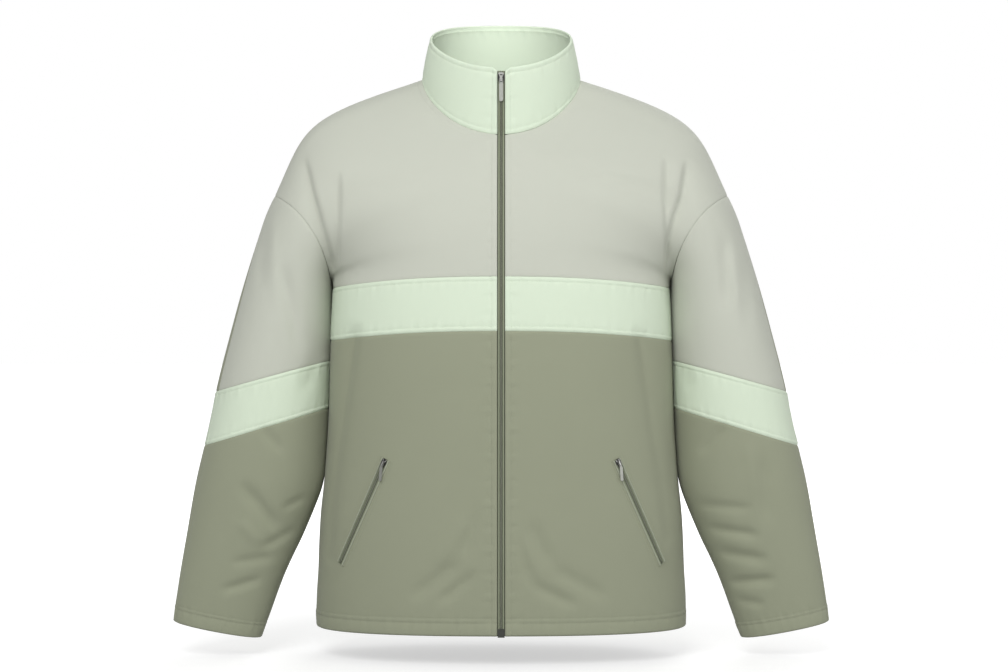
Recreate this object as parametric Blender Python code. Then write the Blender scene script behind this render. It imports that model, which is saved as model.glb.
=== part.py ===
"""A zip-up sweatshirt, filled out as it is worn, with a stand collar, a front zip and two pocket zips.

Metres, +Z up. The front faces -Y and the wearer's left side is +X. The origin is midway between the two
points where the shoulders meet the collar. Every cloth piece is a thin closed wall, cut along its own seams.
"""

from collections import namedtuple
import math

import bmesh
import bpy
from mathutils import Matrix, Vector
import numpy as np

# Cloth and seams
WALL = 0.0016
COLLAR_WALL = 0.0026
HEM_WALL = 0.0030
SEAM_GAP = 0.0003
HEM_TURN_UP = 0.020

# How finely the cloth is divided
FRONT_COLUMNS = 14
YOKE_ROWS = 13
LOWER_ROWS = 10
BAND_ROWS = 2
SLEEVE_UPPER_ROWS = 7
SLEEVE_LOWER_ROWS = 9
COLLAR_ROWS = 3
FINE = 240
WELD_PER_METRE = 1e5
MITRE_LEAST = 0.5
SHARP_ANGLE = math.radians(35)

# Body: level of each seam at the centre and how much lower it runs at the sides
Seam = namedtuple("Seam", "centre_z side_drop")
BAND_TOP = Seam(-0.248, 0.012)
BAND_BOTTOM = Seam(-0.314, 0.012)
HEM = Seam(-0.684, 0.001)
BODY_ROUNDNESS = 2.3
SIDE_Y = -0.005

# Body outline from the side (centre front and centre back) and from the front (half width)
Profile = namedtuple("Profile", "z front_y back_y")
BODY_PROFILE = [
    Profile(-0.700, -0.139, 0.121),
    Profile(-0.684, -0.140, 0.121),
    Profile(-0.600, -0.144, 0.116),
    Profile(-0.500, -0.147, 0.110),
    Profile(-0.400, -0.151, 0.112),
    Profile(-0.314, -0.152, 0.118),
    Profile(-0.248, -0.150, 0.122),
    Profile(-0.190, -0.142, 0.122),
    Profile(-0.130, -0.122, 0.117),
    Profile(-0.072, -0.094, 0.105),
    Profile(-0.030, -0.080, 0.090),
    Profile(0.008, -0.070, 0.074),
]
Outline = namedtuple("Outline", "z x")
BODY_OUTLINE = [
    Outline(-0.700, 0.2322),
    Outline(-0.670, 0.2335),
    Outline(-0.610, 0.2310),
    Outline(-0.549, 0.2285),
    Outline(-0.505, 0.2240),
    Outline(-0.427, 0.2184),
    Outline(-0.326, 0.2156),
    Outline(-0.260, 0.2126),
    Outline(-0.240, 0.2100),
]

# Neck seam and the collar's top edge; a turn of 0 is the centre front and pi the centre back
ZIP_HALF_OPENING = 0.0047
NECK_HALF_WIDTH = 0.100
NECK_FRONT_Y = -0.094
NECK_BACK_Y = 0.074
NECK_FRONT_Z = -0.072
NECK_SIDE_Z = 0.005
NECK_BACK_Z = 0.008
NECK_DIP_POWER = 1.25
SHOULDER_SEAM_TURN = math.radians(100)
RIM_HALF_WIDTH = 0.089
RIM_FRONT_Y = -0.098
RIM_BACK_Y = 0.062
RIM_FRONT_Z = 0.010
RIM_BACK_Z = 0.082
RIM_SIDE_LIFT = 0.010
COLLAR_SWELL = 0.0015
COLLAR_CORNER = 0.007
COLLAR_CORNER_DROP = 0.004

# Yoke rows: how far each row keeps the direction that it leaves the front and meets the armhole with
INNER_REACH_LOW = 0.50
INNER_REACH_AT_SHOULDER = 0.70
OUTER_REACH_LOW = 0.34
OUTER_REACH_AT_SHOULDER = 0.40
CORNER_FAN = math.radians(40)
REACH_CHANGES_FROM = 0.4
SHOULDER_START = (1.0, 0.0, -0.31)
ARMHOLE_WAY_PLACE = 0.25
BAND_FADE_ROWS = 4

# Sleeve: each section runs from an inner point to an outer point, read off the two outlines
Section = namedtuple("Section", "outer_z inner_z half_depth centre_y bow")
SLEEVE_SECTIONS = [
    Section(-0.143, -0.250, 0.092, 0.000, 0.018),
    Section(-0.185, -0.262, 0.088, 0.000, 0.010),
    Section(-0.225, -0.277, 0.085, 0.000, 0.004),
    Section(-0.265, -0.294, 0.083, 0.000, 0.001),
    Section(-0.310, -0.313, 0.081, -0.001, 0.000),
    Section(-0.350, -0.332, 0.079, -0.002, 0.000),
    Section(-0.390, -0.351, 0.077, -0.003, 0.000),
    Section(-0.458, -0.411, 0.071, -0.006, 0.000),
    Section(-0.520, -0.480, 0.063, -0.010, 0.000),
    Section(-0.580, -0.555, 0.053, -0.013, 0.000),
    Section(-0.630, -0.630, 0.043, -0.016, 0.000),
    Section(-0.679, -0.700, 0.034, -0.018, 0.000),
]
SLEEVE_BAND_TOP = 6
SLEEVE_BAND_BOTTOM = 7
SLEEVE_ROUNDNESS = 2.15
SLEEVE_OUTER = [
    Outline(-0.700, 0.4145),
    Outline(-0.679, 0.4130),
    Outline(-0.625, 0.4060),
    Outline(-0.564, 0.3960),
    Outline(-0.503, 0.3855),
    Outline(-0.442, 0.3715),
    Outline(-0.381, 0.3590),
    Outline(-0.320, 0.3435),
    Outline(-0.259, 0.3270),
    Outline(-0.198, 0.3080),
    Outline(-0.168, 0.2980),
    Outline(-0.143, 0.2865),
    Outline(-0.125, 0.2800),
]
SLEEVE_INNER = [
    Outline(-0.700, 0.3030),
    Outline(-0.671, 0.2920),
    Outline(-0.640, 0.2810),
    Outline(-0.610, 0.2690),
    Outline(-0.579, 0.2540),
    Outline(-0.549, 0.2410),
    Outline(-0.505, 0.2275),
    Outline(-0.460, 0.2230),
    Outline(-0.411, 0.2212),
    Outline(-0.351, 0.2190),
    Outline(-0.300, 0.2168),
    Outline(-0.262, 0.2158),
    Outline(-0.250, 0.2140),
]
# The outer sleeve seam leaves the armhole at the sleeve's edge and drifts forward, more so on the right
SEAM_TURN_AT_ARMHOLE = {"left": math.radians(180), "right": math.radians(173)}
SEAM_TURN_BELOW = {"left": math.radians(162), "right": math.radians(156)}
SEAM_DRIFT_PLACES = (0.0, 3.5)

# Folds start away from the zip, and fade from the front round to the sides
FOLDS_START = (0.012, 0.045)
FOLDS_FACING = (0.15, 0.75)
# Largest folds: each runs from one place to another in the front view, in metres; a plus depth is a trough
Fold = namedtuple("Fold", "from_x from_z to_x to_z half_width depth")
FRONT_FOLDS = [
    Fold(0.245, -0.095, 0.212, -0.262, 0.011, 0.012),
    Fold(-0.250, -0.090, -0.212, -0.262, 0.011, 0.012),
    Fold(0.208, -0.110, 0.207, -0.262, 0.010, 0.007),
    Fold(-0.205, -0.115, -0.207, -0.262, 0.010, 0.008),
    Fold(0.228, -0.105, 0.222, -0.230, 0.010, -0.005),
    Fold(-0.230, -0.105, -0.222, -0.230, 0.010, -0.005),
    Fold(0.188, -0.330, 0.200, -0.560, 0.014, 0.006),
    Fold(-0.184, -0.330, -0.200, -0.600, 0.014, 0.006),
    Fold(0.040, -0.560, 0.098, -0.668, 0.016, 0.004),
    Fold(-0.030, -0.555, -0.085, -0.668, 0.016, 0.004),
    Fold(0.276, -0.190, 0.292, -0.370, 0.012, 0.006),
    Fold(-0.288, -0.190, -0.300, -0.370, 0.012, 0.006),
    Fold(0.250, -0.480, 0.325, -0.560, 0.013, 0.006),
    Fold(-0.335, -0.490, -0.275, -0.585, 0.013, 0.007),
    Fold(0.282, -0.570, 0.365, -0.615, 0.012, 0.005),
    Fold(-0.375, -0.560, -0.320, -0.640, 0.012, 0.005),
]
BACK_FOLDS = [
    Fold(0.215, -0.120, 0.195, -0.300, 0.014, 0.009),
    Fold(-0.215, -0.120, -0.195, -0.300, 0.014, 0.009),
    Fold(0.090, -0.420, 0.130, -0.640, 0.018, 0.005),
    Fold(-0.080, -0.400, -0.115, -0.630, 0.018, 0.005),
    Fold(0.255, -0.450, 0.350, -0.500, 0.014, 0.007),
    Fold(-0.255, -0.460, -0.345, -0.490, 0.014, 0.007),
    Fold(0.275, -0.190, 0.300, -0.370, 0.013, 0.006),
    Fold(-0.280, -0.190, -0.298, -0.360, 0.013, 0.006),
]

# Front zip: two tapes behind the front edges, a coil behind them, a box at the hem, a slider and its pull.
# The corners of the slider and of the pull are shares of its half width and of its half or whole length.
TAPE_REACH = 0.0112
TAPE_THICKNESS = 0.0010
TAPE_SPLIT = 0.0003
TAPE_SPLIT_AT_SLIDER = 0.0017
COIL_HALF_WIDTH = 0.0026
COIL_THICKNESS = 0.0018
SLIDER_TOP_Z = 0.004
SLIDER_LENGTH = 0.0145
SLIDER_HALF_WIDTH = 0.0043
SLIDER_PLATE = 0.0013
BACK_HALF_WIDTH = 0.0036
BACK_HALF_LENGTH = 0.0055
NECK_HALF = 0.0012
NECK_LOW = 0.0022
NECK_HIGH = 0.0056
Corner = namedtuple("Corner", "across up")
SLIDER_CORNERS = [
    Corner(0.55, -1.0),
    Corner(0.70, -0.5),
    Corner(1.00, 0.15),
    Corner(1.00, 0.55),
    Corner(0.60, 1.0),
]
BRIDGE_HALF_WIDTH = 0.0011
BRIDGE_HALF_LENGTH = 0.0036
BRIDGE_ROOM = 0.0026
BRIDGE_STRAP = 0.0010
PULL_LENGTH = 0.0280
PULL_HALF_WIDTH = 0.0025
PULL_THICKNESS = 0.0011
PULL_EYE = 0.0052
PULL_EYE_HALF_WIDTH = 0.0015
PULL_PIVOT = 0.223
PULL_CORNERS = [
    Corner(0.72, 0.020),
    Corner(0.88, -0.046),
    Corner(0.82, -0.186),
    Corner(1.00, -0.279),
    Corner(1.00, -0.946),
    Corner(0.55, -1.0),
]
BOX_HALF_WIDTH = 0.0042
BOX_HEIGHT = 0.0105
BOX_THICKNESS = 0.0022
BOX_BELOW_HEM = 0.0012

# Pocket zips, laid on the lower front pieces
POCKET_TOP = Outline(-0.470, 0.140)
POCKET_BOTTOM = Outline(-0.600, 0.1975)
POCKET_HALF_WIDTH = 0.0032
POCKET_THICKNESS = 0.0012
POCKET_STEPS = 8
POCKET_SLIDER_SHARE = 0.7
POCKET_SCALE = 0.78
POCKET_PULL_HANG = 0.8

# Colours (linear), roughness and metallic value
PALE = ((0.60, 0.62, 0.53), 0.85, 0.0)
MINT = ((0.68, 0.78, 0.62), 0.85, 0.0)
SAGE = ((0.29, 0.31, 0.23), 0.85, 0.0)
TAPE_SAGE = ((0.24, 0.26, 0.20), 0.80, 0.0)
STEEL = ((0.55, 0.56, 0.55), 0.30, 1.0)


def clear_scene():
    for thing in list(bpy.data.objects):
        bpy.data.objects.remove(thing, do_unlink=True)


def material(name, look):
    colour, roughness, metallic = look
    made = bpy.data.materials.new(name)
    made.use_nodes = True
    shader = made.node_tree.nodes["Principled BSDF"]
    shader.inputs["Base Color"].default_value = (*colour, 1.0)
    shader.inputs["Roughness"].default_value = roughness
    shader.inputs["Metallic"].default_value = metallic
    return made


# ---------------------------------------------------------------- lines and tables


def smooth(low, high, at):
    """Rises smoothly from 0 at low to 1 at high."""
    share = np.clip((np.asarray(at, float) - low) / (high - low), 0.0, 1.0)
    return share * share * (3.0 - 2.0 * share)


def read(table, key, column, at):
    """Reads a column at any key, along a smooth curve through the table's rows."""
    rows = sorted(table, key=lambda row: getattr(row, key))
    keys = np.array([getattr(row, key) for row in rows])
    values = np.array([getattr(row, column) for row in rows])
    return read_curve(keys, values, at)


def read_curve(keys, values, at):
    slopes = np.gradient(values, keys)
    at = np.clip(np.asarray(at, float), keys[0], keys[-1])
    cell = np.clip(np.searchsorted(keys, at, side="right") - 1, 0, len(keys) - 2)
    span = keys[cell + 1] - keys[cell]
    t = (at - keys[cell]) / span
    start = (2 * t**3 - 3 * t**2 + 1) * values[cell] + (t**3 - 2 * t**2 + t) * span * slopes[cell]
    end = (3 * t**2 - 2 * t**3) * values[cell + 1] + (t**3 - t**2) * span * slopes[cell + 1]
    return start + end


def rounded(value, roundness):
    """A sine or cosine bent so that an ellipse turns into a fuller oval."""
    return np.sign(value) * np.abs(value) ** (2.0 / roundness)


def unit(vectors):
    return vectors / np.maximum(np.linalg.norm(vectors, axis=-1, keepdims=True), 1e-12)


def stack(x, y, z):
    return np.stack(np.broadcast_arrays(x, y, z), axis=-1).astype(float)


def spread(points, count):
    """Sets count + 1 points evenly along a line of many points."""
    steps = np.linalg.norm(np.diff(points, axis=0), axis=1)
    along = np.concatenate([[0.0], np.cumsum(steps)])
    wanted = np.linspace(0.0, along[-1], count + 1)
    return np.stack([np.interp(wanted, along, points[:, axis]) for axis in range(3)], axis=1)


# ---------------------------------------------------------------- body below the chest band


def body_ring(seam, turn):
    """Points round the body at one level, from the centre front (0) by the left side to the back (pi)."""
    z = seam.centre_z - seam.side_drop * np.sin(turn) ** 2
    half_width = read(BODY_OUTLINE, "z", "x", seam.centre_z - seam.side_drop)
    front = SIDE_Y - read(BODY_PROFILE, "z", "front_y", seam.centre_z)
    back = read(BODY_PROFILE, "z", "back_y", seam.centre_z) - SIDE_Y
    across = rounded(np.cos(turn), BODY_ROUNDNESS)
    depth = np.where(across > 0, front, back)
    return stack(half_width * rounded(np.sin(turn), BODY_ROUNDNESS), SIDE_Y - depth * across, z)


def front_start(seam):
    """The turn at which the front's edge leaves room for the zip."""
    half_width = read(BODY_OUTLINE, "z", "x", seam.centre_z - seam.side_drop)
    return math.asin((ZIP_HALF_OPENING / half_width) ** (BODY_ROUNDNESS / 2))


def front_row(seam):
    turn = np.linspace(front_start(seam), math.pi / 2, FINE)
    return spread(body_ring(seam, turn), FRONT_COLUMNS)


def back_row(seam):
    turn = np.linspace(math.pi / 2, math.pi, FINE)
    return spread(body_ring(seam, turn), FRONT_COLUMNS)


def between(low, high, share):
    return Seam(
        low.centre_z + (high.centre_z - low.centre_z) * share,
        low.side_drop + (high.side_drop - low.side_drop) * share,
    )


def body_levels(low, high, rows):
    return [between(low, high, step / rows) for step in range(rows + 1)]


def lower_levels():
    """The turned hem has a row of its own at its stitching."""
    turned = Seam(HEM.centre_z + HEM_TURN_UP, HEM.side_drop)
    return [HEM] + body_levels(turned, BAND_BOTTOM, LOWER_ROWS - 1)


# ---------------------------------------------------------------- sleeves


def sleeve_section(place):
    """The section table's columns at any place along the sleeve, 0 at the armhole."""
    keys = np.arange(len(SLEEVE_SECTIONS), dtype=float)
    columns = {}
    for column in Section._fields:
        values = np.array([getattr(row, column) for row in SLEEVE_SECTIONS])
        columns[column] = read_curve(keys, values, place)
    return Section(**columns)


def sleeve_ring(place, turn):
    """Points round the left sleeve, from its inner edge (0) by the front to its outer edge (pi)."""
    section = sleeve_section(place)
    outer = stack(read(SLEEVE_OUTER, "z", "x", section.outer_z), section.centre_y, section.outer_z)
    inner = stack(read(SLEEVE_INNER, "z", "x", section.inner_z), section.centre_y, section.inner_z)
    middle = (outer + inner) / 2
    half = (inner - outer) / 2
    across = unit(half)
    upward = stack(across[..., 2], 0.0, -across[..., 0])
    along = rounded(np.cos(turn), SLEEVE_ROUNDNESS)
    depth = rounded(np.sin(turn), SLEEVE_ROUNDNESS)
    points = middle + half * np.asarray(along)[..., None]
    points = points + upward * np.asarray(section.bow * np.sin(turn) ** 2)[..., None]
    points[..., 1] -= section.half_depth * depth
    return points


def spread_turns(loop, first, last, count):
    """Turns that set count + 1 points evenly along a stretch of a loop."""
    fine = np.linspace(first, last, FINE)
    steps = np.linalg.norm(np.diff(loop(fine), axis=0), axis=1)
    along = np.concatenate([[0.0], np.cumsum(steps)])
    return np.interp(np.linspace(0.0, along[-1], count + 1), along, fine)


def armhole(turn):
    return sleeve_ring(0.0, turn)


def sleeve_turns(side):
    """Turns of the sleeve's columns: front half, then back half, evenly spread round the armhole."""
    seam = SEAM_TURN_AT_ARMHOLE[side]
    front = spread_turns(armhole, 0.0, seam, YOKE_ROWS - 1)
    back = spread_turns(armhole, seam, 2 * math.pi, YOKE_ROWS - 1)
    return front, back


def drifted(turns, side, place):
    """The columns' turns at a place down the sleeve, where the outer seam has drifted forward."""
    top = SEAM_TURN_AT_ARMHOLE[side]
    seam = top + (SEAM_TURN_BELOW[side] - top) * smooth(*SEAM_DRIFT_PLACES, place)
    behind = 2 * math.pi - (2 * math.pi - turns) * (2 * math.pi - seam) / (2 * math.pi - top)
    return np.where(turns <= top, turns * seam / top, behind)


def sleeve_places(first, last, rows):
    return [first + (last - first) * step / rows for step in range(rows + 1)]


def sleeve_cuff_places():
    """The turned cuff has a row of its own at its stitching."""
    last = len(SLEEVE_SECTIONS) - 1
    length = SLEEVE_SECTIONS[last - 1].outer_z - SLEEVE_SECTIONS[last].outer_z
    turned = last - HEM_TURN_UP / length
    return sleeve_places(SLEEVE_BAND_BOTTOM, turned, SLEEVE_LOWER_ROWS - 1) + [last]


# ---------------------------------------------------------------- neck, collar and yoke


def neck_point(turn):
    """Points of the neck seam, from the centre front (0) by the left side to the centre back (pi)."""
    front = np.clip(np.cos(turn), 0.0, 1.0) ** NECK_DIP_POWER
    back = np.clip(-np.cos(turn), 0.0, 1.0)
    z = NECK_SIDE_Z - (NECK_SIDE_Z - NECK_FRONT_Z) * front + (NECK_BACK_Z - NECK_SIDE_Z) * back
    middle = (NECK_FRONT_Y + NECK_BACK_Y) / 2
    half = (NECK_BACK_Y - NECK_FRONT_Y) / 2
    return stack(NECK_HALF_WIDTH * np.sin(turn), middle - half * np.cos(turn), z)


def rim_point(turn):
    """Points of the collar's top edge, with the same turns as the neck seam."""
    middle_z = (RIM_FRONT_Z + RIM_BACK_Z) / 2
    half_z = (RIM_BACK_Z - RIM_FRONT_Z) / 2
    z = middle_z - half_z * np.cos(turn) + RIM_SIDE_LIFT * np.sin(turn) ** 2
    middle = (RIM_FRONT_Y + RIM_BACK_Y) / 2
    half = (RIM_BACK_Y - RIM_FRONT_Y) / 2
    return stack(RIM_HALF_WIDTH * np.sin(turn), middle - half * np.cos(turn), z)


def neck_turns():
    """Turns of the neck seam at the centre front edge, at the shoulder seam and at the centre back."""
    return math.asin(ZIP_HALF_OPENING / NECK_HALF_WIDTH), SHOULDER_SEAM_TURN, math.pi


def inner_edge(part):
    """A yoke half's inner edge: up the centre line, then round the neck to the shoulder seam."""
    start, seam, back = neck_turns()
    if part == "front":
        z = np.linspace(BAND_TOP.centre_z, NECK_FRONT_Z, FINE)
        y = read(BODY_PROFILE, "z", "front_y", z)
        centre = stack(ZIP_HALF_OPENING, y, z)
        neck = neck_point(np.linspace(start, seam, FINE))
    else:
        z = np.linspace(BAND_TOP.centre_z, NECK_BACK_Z, FINE)
        centre = stack(0.0, read(BODY_PROFILE, "z", "back_y", z), z)
        neck = neck_point(np.linspace(back, seam, FINE))
    return centre, neck


def line_length(points):
    return np.linalg.norm(np.diff(points, axis=0), axis=1).sum()


def centre_cells(part):
    """How many of a yoke's rows start on the centre line rather than on the neck seam."""
    centre, neck = inner_edge(part)
    share = line_length(centre) / (line_length(centre) + line_length(neck))
    return round(YOKE_ROWS * share)


def neck_row_turns(part):
    """Neck turns of the yoke rows that start on the neck seam, up to the shoulder seam."""
    start, seam, back = neck_turns()
    first = start if part == "front" else back
    return spread_turns(neck_point, first, seam, YOKE_ROWS - centre_cells(part))


def inner_starts(part):
    """Start point and start direction of each yoke row, from the band up to the shoulder seam."""
    cells = centre_cells(part)
    low = spread(inner_edge(part)[0], cells)
    high = neck_point(neck_row_turns(part))
    upward = unit(np.gradient(low, axis=0))
    fan = CORNER_FAN * np.linspace(0.0, 1.0, cells + 1)[:, None] ** 2
    low_way = np.cos(fan) * np.array([1.0, 0.0, 0.0]) - np.sin(fan) * upward
    share = smooth(0.0, 1.0, np.linspace(0.0, 1.0, YOKE_ROWS - cells + 1))[:, None]
    high_way = unit((1 - share) * low_way[-1] + share * np.array(SHOULDER_START))
    return np.concatenate([low, high[1:]]), np.concatenate([low_way, high_way[1:]])


def outer_ends(part, side):
    """End point and end direction of each yoke row: the side seam's top, then round the armhole."""
    front, back = sleeve_turns(side)
    turns = front if part == "front" else back[::-1]
    ends = sleeve_ring(0.0, turns)
    outward = unit(sleeve_ring(ARMHOLE_WAY_PLACE, turns) - ends)
    round_side = np.array([0.0, 1.0 if part == "front" else -1.0, 0.0])
    lead = np.clip(np.cos(turns), 0.0, 1.0)[:, None]
    cross = np.sqrt(1.0 - lead**2)
    ways = unit(lead * round_side + cross * outward)
    seam = front_row(BAND_TOP)[-1]
    return np.concatenate([[seam], ends]), np.concatenate([[round_side], ways])


def yoke_half(part, side):
    """The yoke's left front or back: a grid of rows from the chest band up to the shoulder seam."""
    starts, start_ways = inner_starts(part)
    ends, end_ways = outer_ends(part, side)
    band = front_row(BAND_TOP) if part == "front" else back_row(BAND_TOP)[::-1]
    t = np.linspace(0.0, 1.0, FINE)[:, None]
    rise = smooth(REACH_CHANGES_FROM, 1.0, np.linspace(0.0, 1.0, YOKE_ROWS + 1))
    inner_reach = INNER_REACH_LOW + (INNER_REACH_AT_SHOULDER - INNER_REACH_LOW) * rise
    outer_reach = OUTER_REACH_LOW + (OUTER_REACH_AT_SHOULDER - OUTER_REACH_LOW) * rise
    rows = []
    for row, (start, way_in, end, way_out) in enumerate(zip(starts, start_ways, ends, end_ways)):
        reach = np.linalg.norm(end - start)
        leave = start + way_in * reach * inner_reach[row]
        meet = end - way_out * reach * outer_reach[row]
        line = (1 - t) ** 3 * start + 3 * (1 - t) ** 2 * t * leave + 3 * (1 - t) * t**2 * meet + t**3 * end
        rows.append(spread(line, FRONT_COLUMNS))
    grid = np.array(rows)
    fade = 1.0 - smooth(0.0, BAND_FADE_ROWS, np.arange(YOKE_ROWS + 1.0))
    grid = grid + fade[:, None, None] * (band - grid[0])
    return grid if part == "front" else grid[:, ::-1]


# ---------------------------------------------------------------- folds


def fold_depth(folds, x, z):
    """How far the folds push the cloth inward at a place in the front view."""
    total = np.zeros_like(x)
    for fold in folds:
        run_x = fold.to_x - fold.from_x
        run_z = fold.to_z - fold.from_z
        length = math.hypot(run_x, run_z)
        along = ((x - fold.from_x) * run_x + (z - fold.from_z) * run_z) / length**2
        aside = ((x - fold.from_x) * run_z - (z - fold.from_z) * run_x) / length
        ends = smooth(-0.1, 0.3, along) * (1.0 - smooth(0.7, 1.1, along))
        total = total + fold.depth * ends * np.exp(-((aside / fold.half_width) ** 2))
    return total * smooth(*FOLDS_START, np.abs(x))


def folded(grid, facing):
    """Moves a grid's points in or out by the folds; facing is 1 on the front, -1 on the back, 0 at a side."""
    x, z = grid[..., 0], grid[..., 2]
    front = fold_depth(FRONT_FOLDS, x, z) * smooth(*FOLDS_FACING, facing)
    back = fold_depth(BACK_FOLDS, x, z) * smooth(*FOLDS_FACING, -facing)
    moved = grid.copy()
    moved[..., 1] += front - back
    return moved


def body_facing(part, rows):
    """1 at the centre front, 0 at the side seam and -1 at the centre back."""
    share = np.linspace(0.0, 1.0, FRONT_COLUMNS + 1)
    facing = np.cos(share * math.pi / 2) if part == "front" else -np.sin(share * math.pi / 2)
    return np.broadcast_to(facing, (rows, FRONT_COLUMNS + 1))


def yoke_facing(part, side):
    """Runs from the facing of the centre line or the neck to the armhole's own facing."""
    front, back = sleeve_turns(side)
    turns = front if part == "front" else back[::-1]
    outer = np.concatenate([[0.0], np.sin(turns)])[:, None]
    centre = np.full(centre_cells(part), 1.0 if part == "front" else -1.0)
    inner = np.concatenate([centre, np.cos(neck_row_turns(part))])[:, None]
    share = np.linspace(0.0, 1.0, FRONT_COLUMNS + 1)
    facing = inner * np.cos(share * math.pi / 2) + outer * share**2
    return facing if part == "front" else facing[:, ::-1]


# ---------------------------------------------------------------- the cloth grids


def mirrored(grid):
    """The other side's grid, with its columns turned round so that it still faces out."""
    return grid[:, ::-1] * np.array([-1.0, 1.0, 1.0])


def to_side(grid, facing, side):
    if side == "left":
        return folded(grid, facing)
    return folded(mirrored(grid), facing[:, ::-1])


def body_grids():
    """Front and back of the lower body, the band and the yoke, each from the bottom row up."""
    grids = {}
    lower = lower_levels()
    band = body_levels(BAND_BOTTOM, BAND_TOP, BAND_ROWS)
    for side in ("left", "right"):
        for name, levels in (("lower", lower), ("band", band)):
            for part, row_of in (("front", front_row), ("back", back_row)):
                grid = np.array([row_of(level) for level in levels])
                grids[f"{part}_{name}_{side}"] = to_side(grid, body_facing(part, len(levels)), side)
        for part in ("front", "back"):
            grids[f"{part}_upper_{side}"] = to_side(yoke_half(part, side), yoke_facing(part, side), side)
    return grids


def sleeve_grids():
    """Front and back half of each sleeve's upper piece, band and lower piece, each from its bottom row up."""
    grids = {}
    stretches = (
        ("upper", sleeve_places(0, SLEEVE_BAND_TOP, SLEEVE_UPPER_ROWS)),
        ("band", sleeve_places(SLEEVE_BAND_TOP, SLEEVE_BAND_BOTTOM, BAND_ROWS)),
        ("lower", sleeve_cuff_places()),
    )
    for side in ("left", "right"):
        for half, turns in zip(("front", "back"), sleeve_turns(side)):
            for name, places in stretches:
                levels = [drifted(turns, side, place) for place in reversed(places)]
                grid = np.array([sleeve_ring(place, row) for place, row in zip(reversed(places), levels)])
                facing = np.sin(np.array(levels))
                grids[f"sleeve_{name}_{half}_{side}"] = to_side(grid, facing, side)
    return grids


def cell_normals(grid):
    """Normals of a grid's points, each the sum over the faces round it."""
    low_left, low_right = grid[:-1, :-1], grid[:-1, 1:]
    high_left, high_right = grid[1:, :-1], grid[1:, 1:]
    face = np.cross(high_right - low_left, high_left - low_right)
    total = np.zeros_like(grid)
    for part in (total[:-1, :-1], total[:-1, 1:], total[1:, :-1], total[1:, 1:]):
        part += face
    return total


def shared_normals(grids):
    """Normals that agree wherever two cloth pieces meet at a seam."""
    names = list(grids)
    points = np.concatenate([grids[name].reshape(-1, 3) for name in names])
    normals = np.concatenate([cell_normals(grids[name]).reshape(-1, 3) for name in names])
    keys, group = np.unique(
        np.round(points * WELD_PER_METRE).astype(int), axis=0, return_inverse=True
    )
    group = group.reshape(-1)
    total = np.zeros((len(keys), 3))
    np.add.at(total, group, normals)
    shared = unit(total)[group]
    found = {}
    start = 0
    for name in names:
        count = grids[name].shape[0] * grids[name].shape[1]
        found[name] = shared[start : start + count].reshape(grids[name].shape)
        start += count
    return found


# ---------------------------------------------------------------- closed walls


def grid_triangles(rows, columns, start):
    """Triangles of one grid, facing out; its points are numbered row by row from start."""
    triangles = []
    for row in range(rows - 1):
        for column in range(columns - 1):
            a = start + row * columns + column
            b, c, d = a + 1, a + columns + 1, a + columns
            triangles += [(a, b, c), (a, c, d)]
    return triangles


def joined(patches):
    """Grids of one cloth piece as a single sheet: points, normals, thicknesses and triangles."""
    points, normals, walls, triangles = [], [], [], []
    start = 0
    for grid, normal, wall in patches:
        rows, columns = grid.shape[:2]
        points.append(grid.reshape(-1, 3))
        normals.append(normal.reshape(-1, 3))
        walls.append(np.broadcast_to(wall, grid.shape[:2]).reshape(-1))
        triangles += grid_triangles(rows, columns, start)
        start += rows * columns
    points, normals, walls = np.concatenate(points), np.concatenate(normals), np.concatenate(walls)
    keys = np.round(points * WELD_PER_METRE).astype(int)
    _, first, group = np.unique(keys, axis=0, return_index=True, return_inverse=True)
    group = group.reshape(-1)
    triangles = [tuple(group[corner] for corner in triangle) for triangle in triangles]
    return points[first], normals[first], walls[first], triangles


def open_edges(triangles):
    """Edges with cloth on their left side only, in the direction that they run."""
    edges = set()
    for a, b, c in triangles:
        edges |= {(a, b), (b, c), (c, a)}
    return [(a, b) for a, b in edges if (b, a) not in edges]


def drawn_back(points, normals, edges):
    """Draws a sheet's open edges back by half the seam gap."""
    inward = {}
    for a, b in edges:
        run = unit(points[b] - points[a])
        for corner in (a, b):
            inward.setdefault(corner, []).append(unit(np.cross(normals[corner], run)))
    drawn = points.copy()
    for corner, ways in inward.items():
        lean = max(1.0 + float(np.dot(ways[0], ways[-1])), MITRE_LEAST)
        drawn[corner] += (ways[0] + ways[-1]) / lean * SEAM_GAP / 2
    return drawn


def closed_wall(name, outer, inner, triangles, edges):
    """One closed wall between an outer and an inner sheet."""
    count = len(outer)
    faces = list(triangles)
    faces += [(a + count, c + count, b + count) for a, b, c in triangles]
    for a, b in edges:
        # Both pieces at a seam split their facing edges the same way, so they stay parallel
        if outer[a].sum() < outer[b].sum():
            faces += [(a, a + count, b), (b, a + count, b + count)]
        else:
            faces += [(a, a + count, b + count), (a, b + count, b)]
    mesh = bpy.data.meshes.new(name)
    mesh.from_pydata([tuple(point) for point in np.concatenate([outer, inner])], [], faces)
    mesh.validate()
    return mesh


def cloth_mesh(name, patches):
    """A piece of cloth: its sheet drawn back at the seams and thickened inward."""
    points, normals, walls, triangles = joined(patches)
    edges = open_edges(triangles)
    outer = drawn_back(points, normals, edges)
    return closed_wall(name, outer, outer - normals * walls[:, None], triangles, edges)


def strip_mesh(name, outer, inner):
    """A closed strip between two grids of points."""
    rows, columns = outer.shape[:2]
    triangles = grid_triangles(rows, columns, 0)
    return closed_wall(name, outer.reshape(-1, 3), inner.reshape(-1, 3), triangles, open_edges(triangles))


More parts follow.
